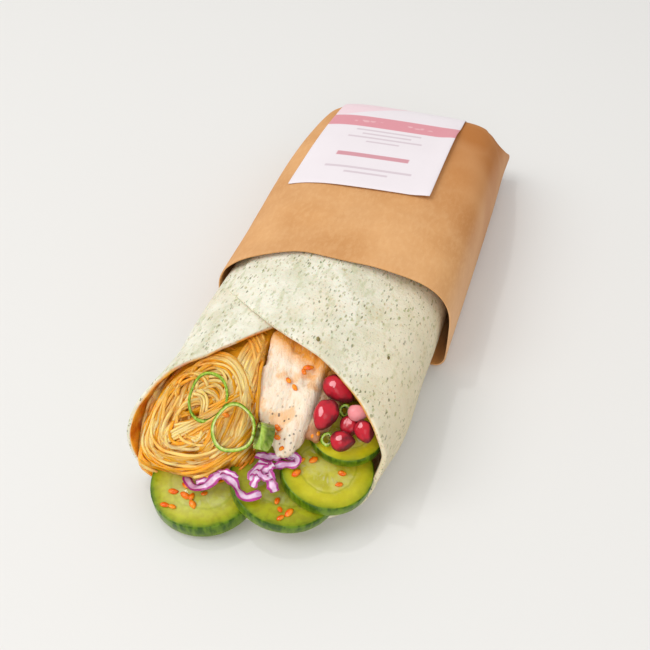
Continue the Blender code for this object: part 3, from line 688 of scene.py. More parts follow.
# %% Slices
# x, y, z of the underside, radii, thickness, slope across, slope back
SLICES = {
    "cucumber_slice_1": (-17.0, 15.0, 3.7, 19.0, 18.0, 6.0, 0.00, 0.100),
    "cucumber_slice_2": (9.8, 22.6, 9.2, 19.4, 18.6, 4.9, -0.170, 0.080),
    "cucumber_slice_3": (22.9, 28.6, 12.8, 16.2, 16.0, 4.8, -0.170, 0.080),
    "cucumber_slice_4": (26.2, 41.0, 20.4, 13.2, 12.4, 4.0, -0.080, 0.140),
}


def stood(place, up, across):
    """The matrix that carries Z to `up` and X near `across`, at a place in millimetres."""
    across = (across - up * across.dot(up)).normalized()
    turn = Matrix((across, up.cross(across), up)).transposed().to_4x4()
    return Matrix.Translation(at(*place)) @ turn


def lying(name):
    """The placing of a slice, in metres, from its own upright coordinates."""
    x, y, z, _, _, _, slope_x, slope_y = SLICES[name]
    up = Vector((-slope_x, -slope_y, 1.0)).normalized()
    return stood((x, y, z), up, Vector((1.0, 0.0, slope_x)))


def build_slice(name, seed):
    _, _, _, radius_x, radius_y, thick, _, _ = SLICES[name]
    bm = bmesh.new()
    bmesh.ops.create_circle(bm, cap_ends=True, radius=1.0, segments=96)
    for width in (0.03, 0.04, 0.06, 0.09, 0.12, 0.14, 0.16):
        middle = min(bm.faces, key=lambda face: face.calc_center_median().length)
        bmesh.ops.inset_region(bm, faces=[middle], thickness=width)
    whole = bmesh.ops.extrude_face_region(bm, geom=bm.faces[:])
    raised = [item for item in whole["geom"] if isinstance(item, bmesh.types.BMVert)]
    bmesh.ops.translate(bm, verts=raised, vec=(0.0, 0.0, 1.0))
    bmesh.ops.recalc_face_normals(bm, faces=bm.faces)
    rim = [edge for edge in bm.edges if edge.calc_face_angle(0.0) > 1.0]
    bmesh.ops.scale(bm, vec=(radius_x * MM, radius_y * MM, thick * MM), verts=bm.verts)
    bmesh.ops.bevel(bm, geom=rim, offset=0.55 * MM, offset_type="OFFSET", segments=3,
                    profile=0.5, affect="EDGES", material=-1)
    cut = bm.verts.layers.float_vector.new("cut")
    rind, = number_layers(bm, "rind")
    spin = random.Random(seed).uniform(0.0, 6.0)
    for vert in bm.verts:
        x, y, z = vert.co / MM
        reach = math.hypot(x / radius_x, y / radius_y)
        turn = math.atan2(y / radius_y, x / radius_x)
        vert[cut] = Vector((reach * math.cos(turn + spin), reach * math.sin(turn + spin),
                            z / thick))
        vert[rind] = ease((reach - 0.955) / 0.03)
        around = Vector((math.cos(turn) * 2.0, math.sin(turn) * 2.0, seed))
        vert.co.xy *= 1.0 + 0.010 * noise.noise(around)
        if z > thick * 0.6:
            sink = 0.45 * math.exp(-((reach - 0.45) / 0.30) ** 2)
            vert.co.z -= (sink + 0.12 * noise.noise(Vector((x, y, seed * 9.0)) * 0.4)) * MM
    bmesh.ops.transform(bm, matrix=lying(name), verts=bm.verts)
    kept(bm, name + "_fine", cucumber_material, (name,), 50.0)


for number, slice_name in enumerate(SLICES):
    build_slice(slice_name, number + 3)

# %% [markdown]
# ## Glass noodles
# Glass noodles are thin, translucent and slippery. A sauce has turned them gold. Strands
# that lie low, far back in the roll and under the left flap are painted dark orange as
# painted shade. A smooth core fills the roll, painted dark orange as the shade between
# the strands, and several hundred long strands swirl over its face. Each route is drawn
# on the slanting face, lifted off by a small height so that the strands pile up, and dips
# in at its ends. Curves with a round bevel make the tubes, which are then turned into one
# mesh.

# %% Noodle finishes


def noodle_finish():
    f = Finish("glass_noodle", subsurface_weight=0.40, subsurface_scale=0.0025,
               subsurface_radius=(1.0, 0.6, 0.15), coat_weight=0.35, coat_roughness=0.12,
               specular_ior_level=0.2)
    patch = f.clouds(85.0, 3.0)
    tone = f.coats(
        f.tint(f.kept_value("shade").above(0.50, 0.38), (0.98, 0.68, 0.24), (0.88, 0.34, 0.005)),
        (patch.above(0.54, 0.08) * 0.6, (0.88, 0.32, 0.004)),
        # Painted shade: darker orange on low strands, far back in the roll and under the left flap.
        (f.kept_value("painted_depth_shade") * 0.9, (0.76, 0.22, 0.002)))
    return f.paint(base_color=tone, roughness=0.22 + patch * 0.15)


def core_finish():
    # The core is painted dark orange as the shade seen between the strands.
    f = Finish("noodle_pocket", specular_ior_level=0.2, roughness=0.35)
    fine = f.clouds(420.0, 3.0, where=f.stretched((1.0, 1.0, 0.4)))
    f.bumps(fine, 0.6, 0.001)
    return f.paint(base_color=f.tint(fine, (0.50, 0.15, 0.002), (0.82, 0.40, 0.02)))


noodle_material = noodle_finish()
core_material = core_finish()
print("noodle finish:", len(noodle_material.node_tree.nodes), "nodes")

# %% [markdown]
# ## Laying the noodles
# A strand needs a face to lie on, so rays are shot at the solid from outside, and where
# a ray misses, the nearest point counts. The tortilla and the chicken limit how far a
# strand may reach, so that none pokes out of the roll or through the meat.

# %% Noodle core and strands
noodle_skin = skin_of("noodles")
tortilla_skin = skin_of("tortilla")
ACROSS = Vector((1.0, 0.0, 0.0))
UPHILL = Vector((0.0, 0.66, 0.75)).normalized()
OUTWARD = ACROSS.cross(UPHILL)
FACE_MIDDLE = at(-22.0, 30.0, 26.5)
ABOVE = OUTWARD * 0.04  # where the rays that look for the face start
STRAND_RADIUS = 0.56
CLEAR = 0.9 * MM  # how near a strand's middle comes to the tortilla


def on_face(u, v, lift):
    """A point over the noodles' slanting face; u across, v uphill, in millimetres."""
    start = FACE_MIDDLE + (ACROSS * u + UPHILL * v) * MM
    hit = noodle_skin.ray_cast(start + ABOVE, -OUTWARD, 0.07)[0]
    if hit is None:
        near = noodle_skin.find_nearest(start)[0]
        hit = start + OUTWARD * ((near - start).dot(OUTWARD) - 0.0012)
    point = hit + OUTWARD * lift * MM
    middle = FACE_MIDDLE + OUTWARD * (point - FACE_MIDDLE).dot(OUTWARD)
    way = (point - middle).normalized()
    room = tortilla_skin.ray_cast(middle, way, 0.05)[3]
    if room is not None and room < (point - middle).length + CLEAR:
        point = middle + way * (room - CLEAR)
    beside = at(-3.1 + 0.6 * math.sin(9.0 * v), 0, 0).x - (point.y - at(0, 30, 0).y) * 0.25
    point.x = min(point.x, beside)
    return point


def under_flap(place, side):
    """How far a place lies under the flap on one side (-1 left, 1 right), from 0 to 1."""
    steps = [Vector((side * 0.6 * k, 0.8 * k, 0.0)) * MM for k in (0.0, 1.5, 3.0, 4.5)]
    up = Vector((0.0, 0.0, 1.0))
    return sum(tortilla_skin.ray_cast(place + step, up, 0.03)[0] is not None for step in steps) / 4


def tubes(name, routes, radius):
    """One mesh of round strands; each vertex keeps its strand's shade."""
    curve = bpy.data.curves.new(name, "CURVE")
    curve.dimensions = "3D"
    curve.bevel_depth = radius * MM
    curve.bevel_resolution = 1
    sides = 6  # what that resolution gives
    curve.use_fill_caps = True
    for points, _, thick in routes:
        spline = curve.splines.new("POLY")
        spline.points.add(len(points) - 1)
        for k, point in enumerate(points):
            spline.points[k].co = (*point, 1.0)
            spline.points[k].radius = thick * (0.55 if k in (0, len(points) - 1) else 1.0)
    bm = evaluated(linked(name, curve))
    bpy.data.curves.remove(curve)
    shade, = number_layers(bm, "shade")
    tones = [tone for points, tone, _ in routes for _ in range(len(points) * sides)]
    for vert, tone in zip(bm.verts, tones):
        vert[shade] = tone
    print(name, "strands:", len(routes), "vertices told:", len(tones), "of", len(bm.verts))
    return bm


def face_border():
    """How far the noodles' face reaches from its middle, every five degrees."""
    reach = []
    for k in range(72):
        way = ACROSS * math.cos(k * math.pi / 36) + UPHILL * math.sin(k * math.pi / 36)
        far = 8.0
        while far < 34.0 and noodle_skin.ray_cast(FACE_MIDDLE + way * far * MM + ABOVE,
                                                  -OUTWARD, 0.06)[0] is not None:
            far += 0.5
        reach.append(far)
    for _ in range(30):
        reach = [(reach[k - 1] + 2 * reach[k] + reach[(k + 1) % 72]) / 4 for k in range(72)]
    return reach


BORDER = face_border()
print("face reach from", round(min(BORDER), 1), "to", round(max(BORDER), 1), "mm")


def border(angle):
    """How far the face reaches in any direction."""
    place = (angle / (math.pi / 36)) % 72
    k = int(place)
    reach = BORDER[k] + (BORDER[(k + 1) % 72] - BORDER[k]) * (place - k)
    return reach * (1.0 + 0.12 * max(0.0, -math.cos(angle)))


def arch(rise, t):
    """The height of a strand along its way: it dives under the others at both ends."""
    hump = math.sin(math.pi * t)
    return rise * hump ** 0.5 - 1.6 * (1.0 - hump) ** 4


def strand(rng, points):
    """A route smoothed, so that it doesn't follow every bump, with a shade and a width."""
    for _ in range(3):
        inner = [(a + b * 2.0 + c) / 4.0 for a, b, c in zip(points, points[1:], points[2:])]
        points = [points[0]] + inner + [points[-1]]
    return points, rng.random(), rng.uniform(0.85, 1.1)


def swirl_bundle(rng, level, strands, lift, middle=(0.0, 0.0), begin=None):
    """Neighbouring strands that run round the face together."""
    begin = rng.uniform(-math.pi, math.pi) if begin is None else begin
    sweep = rng.uniform(1.7, 3.2) * rng.choice((-1, 1))
    drift = rng.uniform(-0.26, 0.26)
    twist = rng.uniform(0.0, 3.2)
    middle = (middle[0] + rng.uniform(-1.6, 1.6), middle[1] + rng.uniform(-1.6, 1.6))
    routes = []
    for j in range(strands):
        aside = (j - (strands - 1) / 2) * 1.05
        x, y = middle[0] + rng.uniform(-0.5, 0.5), middle[1] + rng.uniform(-0.5, 0.5)
        wave, count = rng.uniform(0.1, 0.6), rng.uniform(2.0, 5.0)
        first, last = rng.uniform(0.0, 0.10), rng.uniform(0.90, 1.0)
        rise = lift + rng.uniform(-0.4, 0.4)
        points = []
        for k in range(40):
            s = first + (last - first) * k / 39
            angle = begin + sweep * s
            r = border(angle) * min(level + drift * (s - 0.5), 1.04)
            r += aside * math.cos(twist * s + begin) + wave * math.sin(count * angle + 9.0 * level)
            points.append(on_face(x + r * math.cos(angle), y + r * math.sin(angle),
                                  arch(rise, k / 39)))
        routes.append(strand(rng, points))
    return routes


def straight_bundle(rng, start, end, bow, strands, lift):
    """Neighbouring strands that run across the face in a slight bow."""
    start, end = Vector(start), Vector(end)
    side = Vector((start.y - end.y, end.x - start.x)).normalized()
    routes = []
    for j in range(strands):
        aside = (j - (strands - 1) / 2) * 1.2
        own = rng.uniform(-0.5, 0.5)
        wave = rng.uniform(-0.8, 0.8)
        rise = lift + rng.uniform(-0.5, 0.5)
        points = []
        for k in range(30):
            t = k / 29
            hump = math.sin(math.pi * t)
            spot = start.lerp(end, t + own * 0.08) + side * (
                aside * (1.0 - 0.3 * hump) + bow * hump + wave * math.sin(6.3 * t) + own)
            points.append(on_face(spot.x, spot.y, arch(rise, t)))
        routes.append(strand(rng, points))
    return routes


def noodle_routes():
    rng = random.Random(21)
    routes = []
    for level in (0.15, 0.30, 0.45, 0.60, 0.75, 0.88, 0.99):
        for k in range(5):
            begin = 1.26 * k + 5.0 * level
            routes += swirl_bundle(rng, level, 4, rng.uniform(0.0, 0.7), begin=begin)
    for count, levels, strands, lifts, middle in (
            (14, (0.88, 1.06), 5, (0.6, 1.6), (0.0, 0.0)),
            (13, (0.56, 0.88), 5, (1.0, 2.2), (-0.5, -1.0)),
            (6, (0.20, 0.50), 4, (1.2, 2.2), (-2.0, -4.0))):
        for _ in range(count):
            routes += swirl_bundle(rng, rng.uniform(*levels), strands, rng.uniform(*lifts), middle)
    for _ in range(6):
        spot = (rng.uniform(-11.0, 7.0), rng.uniform(-9.0, 9.0))
        routes += swirl_bundle(rng, rng.uniform(0.24, 0.36), 3, rng.uniform(1.6, 2.6), spot)
    for _ in range(7):
        across = rng.uniform(-9.0, 9.0)
        start, end = (-13.0 + across * 0.4, -14.0 + across), (14.0, 8.0 + across * 0.6)
        routes += straight_bundle(rng, start, end, rng.uniform(-3.0, 3.0), 3, rng.uniform(1.2, 2.4))
    for k in range(6):
        start, end = (6.0 + 1.2 * k, -13.0 + k), (6.5 + 1.3 * k, 29.0 - 0.4 * k)
        routes += straight_bundle(rng, start, end, rng.uniform(-2.0, 2.5), 4, rng.uniform(0.4, 1.4))
    return routes


def smoothed(bm, times):
    """The mesh after each vertex is drawn towards its neighbours, several times."""
    for _ in range(times):
        bmesh.ops.smooth_vert(bm, verts=bm.verts, factor=0.5,
                              use_axis_x=True, use_axis_y=True, use_axis_z=True)
    return bm


def build_noodles():
    core = smoothed(remeshed(copy_of("noodles"), 1.3), 4)
    push(core, lambda p: -0.7 + 0.3 * ripple(p, 5.0, 2.0))
    kept(core, "noodle_core", core_material, ("noodles",))
    bm = tubes("noodle_strands", noodle_routes(), STRAND_RADIUS)
    painted_depth_shade, = number_layers(bm, "painted_depth_shade")
    for vert in bm.verts:
        lift = (vert.co - noodle_skin.find_nearest(vert.co)[0]).dot(OUTWARD) / MM
        uphill = (vert.co - FACE_MIDDLE).dot(UPHILL) / MM
        # Painted shade on strands that lie low, far back in the roll and under the left flap.
        vert[painted_depth_shade] = max(ease((0.5 - lift) / 1.6), 0.5 * ease((uphill - 16.0) / 12.0),
                          ease((uphill - 2.0) / 9.0) * under_flap(vert.co, -1.0))
    kept(bm, "noodle_strands", noodle_material, ("noodles",))


build_noodles()

# %% [markdown]
# ## Chicken
# Grilled chicken tears into long fibres. Here it is coated with a pale creamy sauce, so
# it is cream-white with beige and pink where the meat shows, brown in the cracks, and
# peppered near the tip. The copy of each solid becomes one even skin, and stretched
# noise draws the fibres on it.

# %% Chicken finish and pieces


def chicken_finish():
    f = Finish("chicken_meat", subsurface_weight=0.20, subsurface_scale=0.002,
               subsurface_radius=(1.0, 0.5, 0.3), coat_weight=0.25, coat_roughness=0.2)
    grain = f.kept_vector("grain")
    fibre = f.clouds(1.1, 5.0, 0.65, grain)
    broad = f.clouds(0.35, 3.0, 0.5, grain)
    creamy = (f.kept_value("cream") + (broad - 0.5) * 1.3).above(0.5, 0.10)
    browned = (f.kept_value("char") + (fibre - 0.5) * 0.9).above(0.6, 0.14)
    drip = f.clouds(120.0, 3.0).above(0.60, 0.05)
    cream = f.tint(fibre.above(0.42, 0.2), (0.82, 0.62, 0.42), (0.87, 0.75, 0.60))
    tone = f.coats(
        f.tint(fibre.above(0.5, 0.14), (0.66, 0.38, 0.19), (0.92, 0.68, 0.46)),
        (creamy, cream),
        (fibre.below(0.40, 0.04) * 0.55 * (0.9 - creamy * 0.6), (0.62, 0.30, 0.10)),
        (browned * 0.85, (0.34, 0.105, 0.022)),
        (drip * 0.5 + f.kept_value("sauce") * fibre.above(0.34, 0.14), (0.86, 0.38, 0.05)),
        (f.hearts(820.0, 0.30, 0.34) * f.kept_value("pepper"), (0.02, 0.012, 0.008)))
    f.bumps(fibre * 0.75 + broad * 0.25, 0.7, 0.0012)
    return f.paint(base_color=tone, roughness=0.32 + fibre * 0.2)


chicken_material = chicken_finish()


def build_chicken(node, seed, creamy, tip, browned, seared):
    """One strip; `tip` is its peppered end, `browned` a corner seared `seared` mm wide."""
    bm = smoothed(remeshed(copy_of(node), 0.8), 2)
    fibre_way = Vector((0.12, -0.86, -0.50)).normalized()

    def along_grain(p):
        return p - fibre_way * p.dot(fibre_way) * 0.76

    def relief(p):
        x, y, _ = from_mouth(p)
        shown = 1.0 - ease((y - 66.0) / 8.0)
        drawn = along_grain(p)
        lumps = ripple(p, 8.0, seed) * 0.8
        fibres = ripple(drawn, 2.6, seed + 2) * 0.55 + ripple(drawn, 1.2, seed + 4) * 0.22
        pits = -0.9 * ease((abs(ripple(drawn, 4.5, seed + 6)) - 0.30) / 0.2)
        gap = math.exp(-((x - 14.5) / 4.5) ** 2)
        return (lumps + fibres + pits) * shown + 0.35 + 1.5 * gap * shown

    push(bm, relief)
    grain = bm.verts.layers.float_vector.new("grain")
    cream, char, pepper, sauce = number_layers(bm, "cream", "char", "pepper", "sauce")
    for vert in bm.verts:
        p = vert.co
        vert[grain] = along_grain(p) / MM
        vert[pepper] = math.exp(-((p - tip).length / (10 * MM)) ** 2)
        vert[char] = math.exp(-((p - browned).length / (seared * MM)) ** 2)
        vert[cream] = creamy + 0.25 * ripple(p, 9.0, seed + 9)
        vert[sauce] = under_flap(p, 1.0)
    kept(bm, node + "_fine", chicken_material, (node,))


build_chicken("chicken_1", 1.0, 0.85, at(5, 30, 28), at(14.0, 33.0, 24.0), 5.0)
build_chicken("chicken_2", 5.0, 0.30, at(20, 60, 40), at(17.5, 31.5, 25.0), 8.0)

# %% [markdown]
# ## Pomegranate seeds
# Each seed is a plump drop that its neighbours have flattened into soft facets. The
# flesh is wine red and clear, with light and shade painted on it: deep where it turns
# away from the light, brighter where it faces it, with one pale painted highlight. An
# icosphere is pressed flat in a few random directions and drawn out to a blunt point.

# %% Pomegranate finish and seeds


def pomegranate_finish():
    f = Finish("pomegranate_flesh", subsurface_weight=0.15, subsurface_scale=0.002,
               subsurface_radius=(1.0, 0.04, 0.03), coat_weight=0.30, coat_roughness=0.03,
               ior=1.34, specular_ior_level=0.12)
    inner = f.clouds(260.0)
    streak = f.clouds(520.0, where=f.stretched((1.0, 0.5, 0.5)))
    # Painted light and shade: bright on the side that faces the light, deep on the other.
    painted_lit_side = (f.kept_value("facing") + (inner - 0.5) * 2.4).above(0.60, 0.40)
    # A small pale painted highlight on each seed.
    painted_highlight = (f.kept_value("painted_highlight") + (streak - 0.5) * 2.0).above(0.66, 0.16)
    tone = f.coats(f.tint(painted_lit_side, (0.10, 0.0005, 0.004), (0.48, 0.003, 0.018)),
                   (painted_highlight * 0.62, (0.92, 0.46, 0.50)),
                   (f.kept_value("pale"), (0.80, 0.30, 0.32)))
    return f.paint(base_color=tone, roughness=0.12 + inner * 0.08)


pomegranate_material = pomegranate_finish()

# middle, length, width, turn about Z, tilt
POMEGRANATES = {
    "pomegranate_seed_1": ((21.0, 48.4, 34.6), 12.4, 9.4, -15.0, 22.0),
    "pomegranate_seed_2": ((19.6, 37.9, 32.4), 11.4, 9.2, -100.0, 30.0),
    "pomegranate_seed_3": ((27.6, 39.7, 28.2), 8.6, 7.6, 120.0, 10.0),
    "pomegranate_seed_4": ((27.6, 32.0, 28.2), 8.8, 7.6, 20.0, 0.0),
    "pomegranate_seed_5": ((34.0, 36.6, 30.4), 8.2, 7.4, -50.0, 30.0),
    "pomegranate_seed_6": ((30.1, 41.1, 33.6), 6.9, 6.4, 10.0, 0.0),
}


def build_pomegranate(name, seed, paleness):
    place, length, width, turn, tilt = POMEGRANATES[name]
    rng = random.Random(seed)
    bm = bmesh.new()
    bmesh.ops.create_icosphere(bm, subdivisions=4, radius=1.0)
    for _ in range(9):
        way = Vector((rng.gauss(0, 1), rng.gauss(0, 1), rng.gauss(0, 1))).normalized()
        level = rng.uniform(0.84, 0.93)
        for vert in bm.verts:
            vert.co -= way * max(0.0, vert.co.dot(way) - level) * 0.85
    for vert in smoothed(bm, 3).verts:
        vert.co.yz *= 1.0 - 0.38 * ((vert.co.x + 1.0) / 2.0) ** 2
    size = Matrix.Diagonal((length * 0.52 * MM, width * 0.52 * MM, width * 0.52 * MM, 1.0))
    aim = Matrix.Rotation(math.radians(turn), 4, "Z") @ Matrix.Rotation(math.radians(tilt), 4, "Y")
    bmesh.ops.transform(bm, matrix=Matrix.Translation(at(*place)) @ aim @ size, verts=bm.verts)
    bm.normal_update()
    pale, facing, painted_highlight = number_layers(bm, "pale", "facing", "painted_highlight")
    # lit is the way of the painted light; inside is the way of each seed's painted highlight.
    lit = Vector((-0.15, -0.60, 0.78)).normalized()
    inside = (lit + Vector((rng.uniform(-0.35, 0.2), rng.uniform(-0.1, 0.35), 0.1))).normalized()
    for vert in bm.verts:
        vert[pale] = paleness
        vert[facing] = ease((vert.normal.dot(lit) - 0.15) / 0.75)
        vert[painted_highlight] = ease((vert.normal.dot(inside) - 0.93) / 0.06)
    kept(bm, name + "_fine", pomegranate_material, (name,), 180.0)


for number, seed_name in enumerate(POMEGRANATES):
    build_pomegranate(seed_name, 40 + number, 0.9 if number == 5 else 0.05)

# %% [markdown]
# ## Spring onion rings
# A ring is a slice of a hollow leaf: thin, green outside, whiter inside, and never quite
# round. The wall's cross section is spun round an axis at the origin and closed, then
# bent out of true and laid in place.

# %% Spring onion finish and rings


def onion_finish():
    f = Finish("onion_green", subsurface_weight=0.3, subsurface_scale=0.002,
               subsurface_radius=(0.6, 1.0, 0.1), coat_weight=0.3, coat_roughness=0.06,
               specular_ior_level=0.25, roughness=0.22)
    lines = f.clouds(900.0, 3.0, where=f.stretched((1.0, 1.0, 0.25))).above(0.5, 0.2)
    green = f.tint(lines, (0.14, 0.36, 0.003), (0.40, 0.64, 0.03))
    pale = f.tint(lines, (0.52, 0.68, 0.07), (0.80, 0.84, 0.36))
    f.bumps(lines, 0.3, 0.0003)
    return f.paint(base_color=f.tint(f.kept_value("inner"), green, pale))


onion_material = onion_finish()

# middle, radii, height, wall, direction of the axis, how pale the inside is
RINGS = {
    "spring_onion_1": ((-20.8, 31.5, 33.8), 6.7, 8.9, 1.2, 0.9, (0.28, -0.56, 0.78), 0.25),
    "spring_onion_2": ((-8.7, 24.6, 29.6), 7.5, 8.5, 2.0, 1.2, (0.30, -0.62, 0.72), 1.0),
    "spring_onion_3": ((2.5, 24.5, 29.6), 4.3, 5.1, 5.0, 1.1, (0.93, 0.30, -0.32), 0.8),
    "spring_onion_4": ((21.8, 32.6, 26.4), 2.0, 2.5, 1.8, 0.9, (0.30, -0.62, 0.72), 0.8),
    "spring_onion_5": ((24.6, 43.6, 30.0), 1.9, 2.4, 1.8, 0.9, (0.30, -0.40, 0.80), 0.6),
}


def build_ring(name, seed):
    place, radius_a, radius_b, height, wall, axis, pale = RINGS[name]
    bm = bmesh.new()
    profile = bmesh.ops.create_grid(bm, x_segments=2, y_segments=2, size=0.5)["verts"]
    bmesh.ops.rotate(bm, verts=profile, cent=(0, 0, 0), matrix=Matrix.Rotation(math.pi / 2, 3, "X"))
    bmesh.ops.scale(bm, verts=profile, vec=(wall, 1.0, height))
    bmesh.ops.translate(bm, verts=profile, vec=(radius_a - wall / 2, 0.0, 0.0))
    bmesh.ops.spin(bm, geom=bm.verts[:] + bm.edges[:] + bm.faces[:], cent=(0, 0, 0),
                   axis=(0, 0, 1), dvec=(0, 0, 0), angle=2 * math.pi, steps=72, use_merge=True)
    inside = [face for face in bm.faces if abs(face.calc_center_median().y) < 1e-6
              and face.calc_center_median().x > 0 and abs(face.normal.y) > 0.9]
    bmesh.ops.delete(bm, geom=inside, context="FACES_ONLY")
    bmesh.ops.remove_doubles(bm, verts=bm.verts, dist=0.0001)
    bmesh.ops.recalc_face_normals(bm, faces=bm.faces)
    ridge = [edge for edge in bm.edges if edge.calc_face_angle(0.0) > 1.0]
    bmesh.ops.bevel(bm, geom=ridge, offset=wall * 0.28, offset_type="OFFSET", segments=2,
                    profile=0.5, affect="EDGES", material=-1)
    inner, = number_layers(bm, "inner")
    loose = min(1.0, 2.0 / height)
    for vert in bm.verts:
        reach, turn = math.hypot(vert.co.x, vert.co.y), math.atan2(vert.co.y, vert.co.x)
        hidden = ease((radius_a - 0.25 * wall - reach) / (0.5 * wall))
        # Rings taller than 3 mm, that is ring 3, are painted paler all over as painted light, since
        # that ring sits in shade.
        vert[inner] = max(hidden * pale, 0.045 * height if height > 3.0 else 0.0)
        uneven = 0.035 * math.sin(3.0 * turn + seed) + 0.015 * math.sin(5.0 * turn + 2 * seed)
        vert.co.xy *= 1.0 + loose * uneven
        vert.co.y *= radius_b / radius_a
        vert.co.z += 0.35 * loose * math.sin(2.0 * turn + seed)
    axis = Vector(axis).normalized()
    across = Vector((1.0, 0.0, 0.0)) if abs(axis.x) < 0.8 else Vector((0.0, 1.0, 0.0))
    bmesh.ops.transform(bm, matrix=stood(place, axis, across) @ Matrix.Scale(MM, 4), verts=bm.verts)
    kept(bm, name + "_fine", onion_material, (name,))


for number, ring_name in enumerate(RINGS):
    build_ring(ring_name, 1.3 + number)

# %% [markdown]
# ## Red cabbage
# A shred of red cabbage is white inside with a violet skin, so its faces show lilac
# white and its rims purple. A flat oval is pushed along a curved route, step by step,
# like a ribbon from a press. Where the real shreds bunch up, several ribbons lie over
# each other. Each vertex keeps how near it is to the ribbon's rim.

# %% Cabbage finish and shreds


def cabbage_finish():
    f = Finish("cabbage_leaf", subsurface_weight=0.20, subsurface_scale=0.002,
               coat_weight=0.3, coat_roughness=0.12, roughness=0.26)
    vein = f.clouds(300.0, 3.0)
    rim = (f.kept_value("rim") + (vein - 0.5) * 0.9).above(0.50, 0.16)
    white = f.tint(vein.above(0.5, 0.2), (0.55, 0.26, 0.48), (0.84, 0.66, 0.80))
    violet = f.tint(vein.above(0.5, 0.2), (0.24, 0.004, 0.12), (0.46, 0.03, 0.28))
    f.bumps(vein, 0.4, 0.0006)
    return f.paint(base_color=f.tint(rim, white, violet))


cabbage_material = cabbage_finish()


def curved(points, count):
    """Points along a Catmull-Rom curve through the given points, in millimetres."""
    nodes = [Vector(p) for p in points]
    ends = [2 * nodes[0] - nodes[1]] + nodes + [2 * nodes[-1] - nodes[-2]]
    route = []
    for k in range(count):
        place = k / (count - 1) * (len(nodes) - 1)
        i = min(int(place), len(nodes) - 2)
        t = place - i
        a, b, c, d = ends[i:i + 4]
        route.append(0.5 * (2 * b + (c - a) * t + (2 * a - 5 * b + 4 * c - d) * t ** 2
                            + (3 * b - a - 3 * c + d) * t ** 3))
    return route


def add_ribbon(bm, rim, width, thick, points, roll, seed):
    """Push a flat oval along a route; `roll` turns it about the route."""
    route = curved(points, 44)
    last = len(route) - 1
    profile = bmesh.ops.create_circle(bm, cap_ends=True, radius=1.0, segments=14)["verts"]
    shape = [vert.co.copy() for vert in profile]
    face = profile[0].link_faces[0]
    for k, point in enumerate(route):
        along = (route[min(k + 1, last)] - route[max(k - 1, 0)]).normalized()
        lean = roll + 0.5 * math.sin(k * 0.23 + seed) + 0.3 * math.sin(k * 0.61 + 2 * seed)
        up = Vector((0.0, math.sin(lean), math.cos(lean)))
        side = along.cross(up).normalized()
        up = side.cross(along)
        if k:
            face = push_face(bm, face)
        end = 0.65 if k in (0, last) else 1.0
        wave = 1.0 + 0.15 * math.sin(k * 0.8 + seed)
        for vert, local in zip(face.verts, shape):
            cup = 0.35 * abs(local.x) ** 2 * thick
            rise = local.y * thick / 2 * end + cup
            vert.co = at(*(point + (side * local.x * width / 2 * wave * end + up * rise)))
            vert[rim] = abs(local.x)


def push_face(bm, face):
    """Extrude one face and return the new one, its corners in the same order."""
    count = len(face.verts)
    result = bmesh.ops.extrude_face_region(bm, geom=[face])["geom"]
    if face.is_valid:
        bmesh.ops.delete(bm, geom=[face], context="FACES_ONLY")
    return next(item for item in result if isinstance(item, bmesh.types.BMFace)
                and len(item.verts) == count)


RIBBONS = {
    "red_cabbage_1": (
        (3.4, 0.8, ((-23.0, 12.4, 12.0), (-18.6, 9.4, 11.8), (-14.4, 10.6, 12.8),
                    (-9.6, 12.6, 17.8), (-4.6, 12.0, 18.0), (-1.6, 9.4, 17.2),
                    (2.0, 8.2, 16.6), (6.0, 11.2, 16.6)), 0.0),
        (2.0, 0.7, ((-18.0, 11.0, 12.6), (-13.0, 12.8, 15.4), (-8.0, 14.0, 19.2),
                    (-3.0, 13.6, 19.0)), -0.6)),
    "red_cabbage_2": (
        (3.8, 0.9, ((1.0, 14.4, 17.4), (1.6, 17.6, 18.8), (3.8, 19.0, 20.2),
                    (6.2, 17.4, 20.2), (8.6, 14.6, 18.8), (10.4, 12.6, 17.6)), -0.4),
        (2.8, 0.8, ((2.4, 12.4, 17.2), (3.4, 15.6, 19.4), (5.6, 18.0, 21.2),
                    (7.4, 20.2, 21.4)), -0.7),
        (2.4, 0.7, ((0.2, 16.8, 18.4), (3.4, 16.2, 20.4), (6.6, 15.2, 20.2),
                    (8.8, 17.2, 19.4)), -0.5)),
    "red_cabbage_3": (
        (3.0, 0.8, ((-1.0, 24.0, 18.8), (3.6, 24.2, 19.6), (8.4, 24.6, 21.0),
                    (14.0, 26.2, 21.2)), -0.4),
        (2.6, 0.7, ((1.0, 21.8, 19.0), (5.6, 20.6, 20.0), (10.0, 21.8, 20.8),
                    (14.2, 23.4, 20.9), (13.0, 26.0, 21.6), (9.0, 25.4, 22.0)), -0.5)),
}


def build_cabbage(node, seed):
    bm = bmesh.new()
    rim, = number_layers(bm, "rim")
    for number, (width, thick, points, roll) in enumerate(RIBBONS[node]):
        add_ribbon(bm, rim, width, thick, points, roll, seed + number)
    bmesh.ops.recalc_face_normals(bm, faces=bm.faces)
    kept(bm, node + "_fine", cabbage_material, (node,))


for number, shred_name in enumerate(RIBBONS):
    build_cabbage(shred_name, 1.0 + 3.0 * number)

# %% [markdown]
# ## Sauce seeds
# The chilli sauce leaves orange seeds and bits of pepper on the cucumber, the chicken
# and the noodles. Each is a flat glossy grain two to three millimetres long. All of
# them are one mesh of small icospheres.

# %% Sauce seed finish and grains


def sauce_finish():
    f = Finish("sauce_seed", subsurface_weight=0.3, subsurface_scale=0.0015, coat_weight=0.4,
               coat_roughness=0.05, specular_ior_level=0.2, roughness=0.18)
    return f.paint(base_color=f.tint(f.clouds(350.0).above(0.5, 0.15),
                                     (0.74, 0.10, 0.001), (0.88, 0.28, 0.008)))


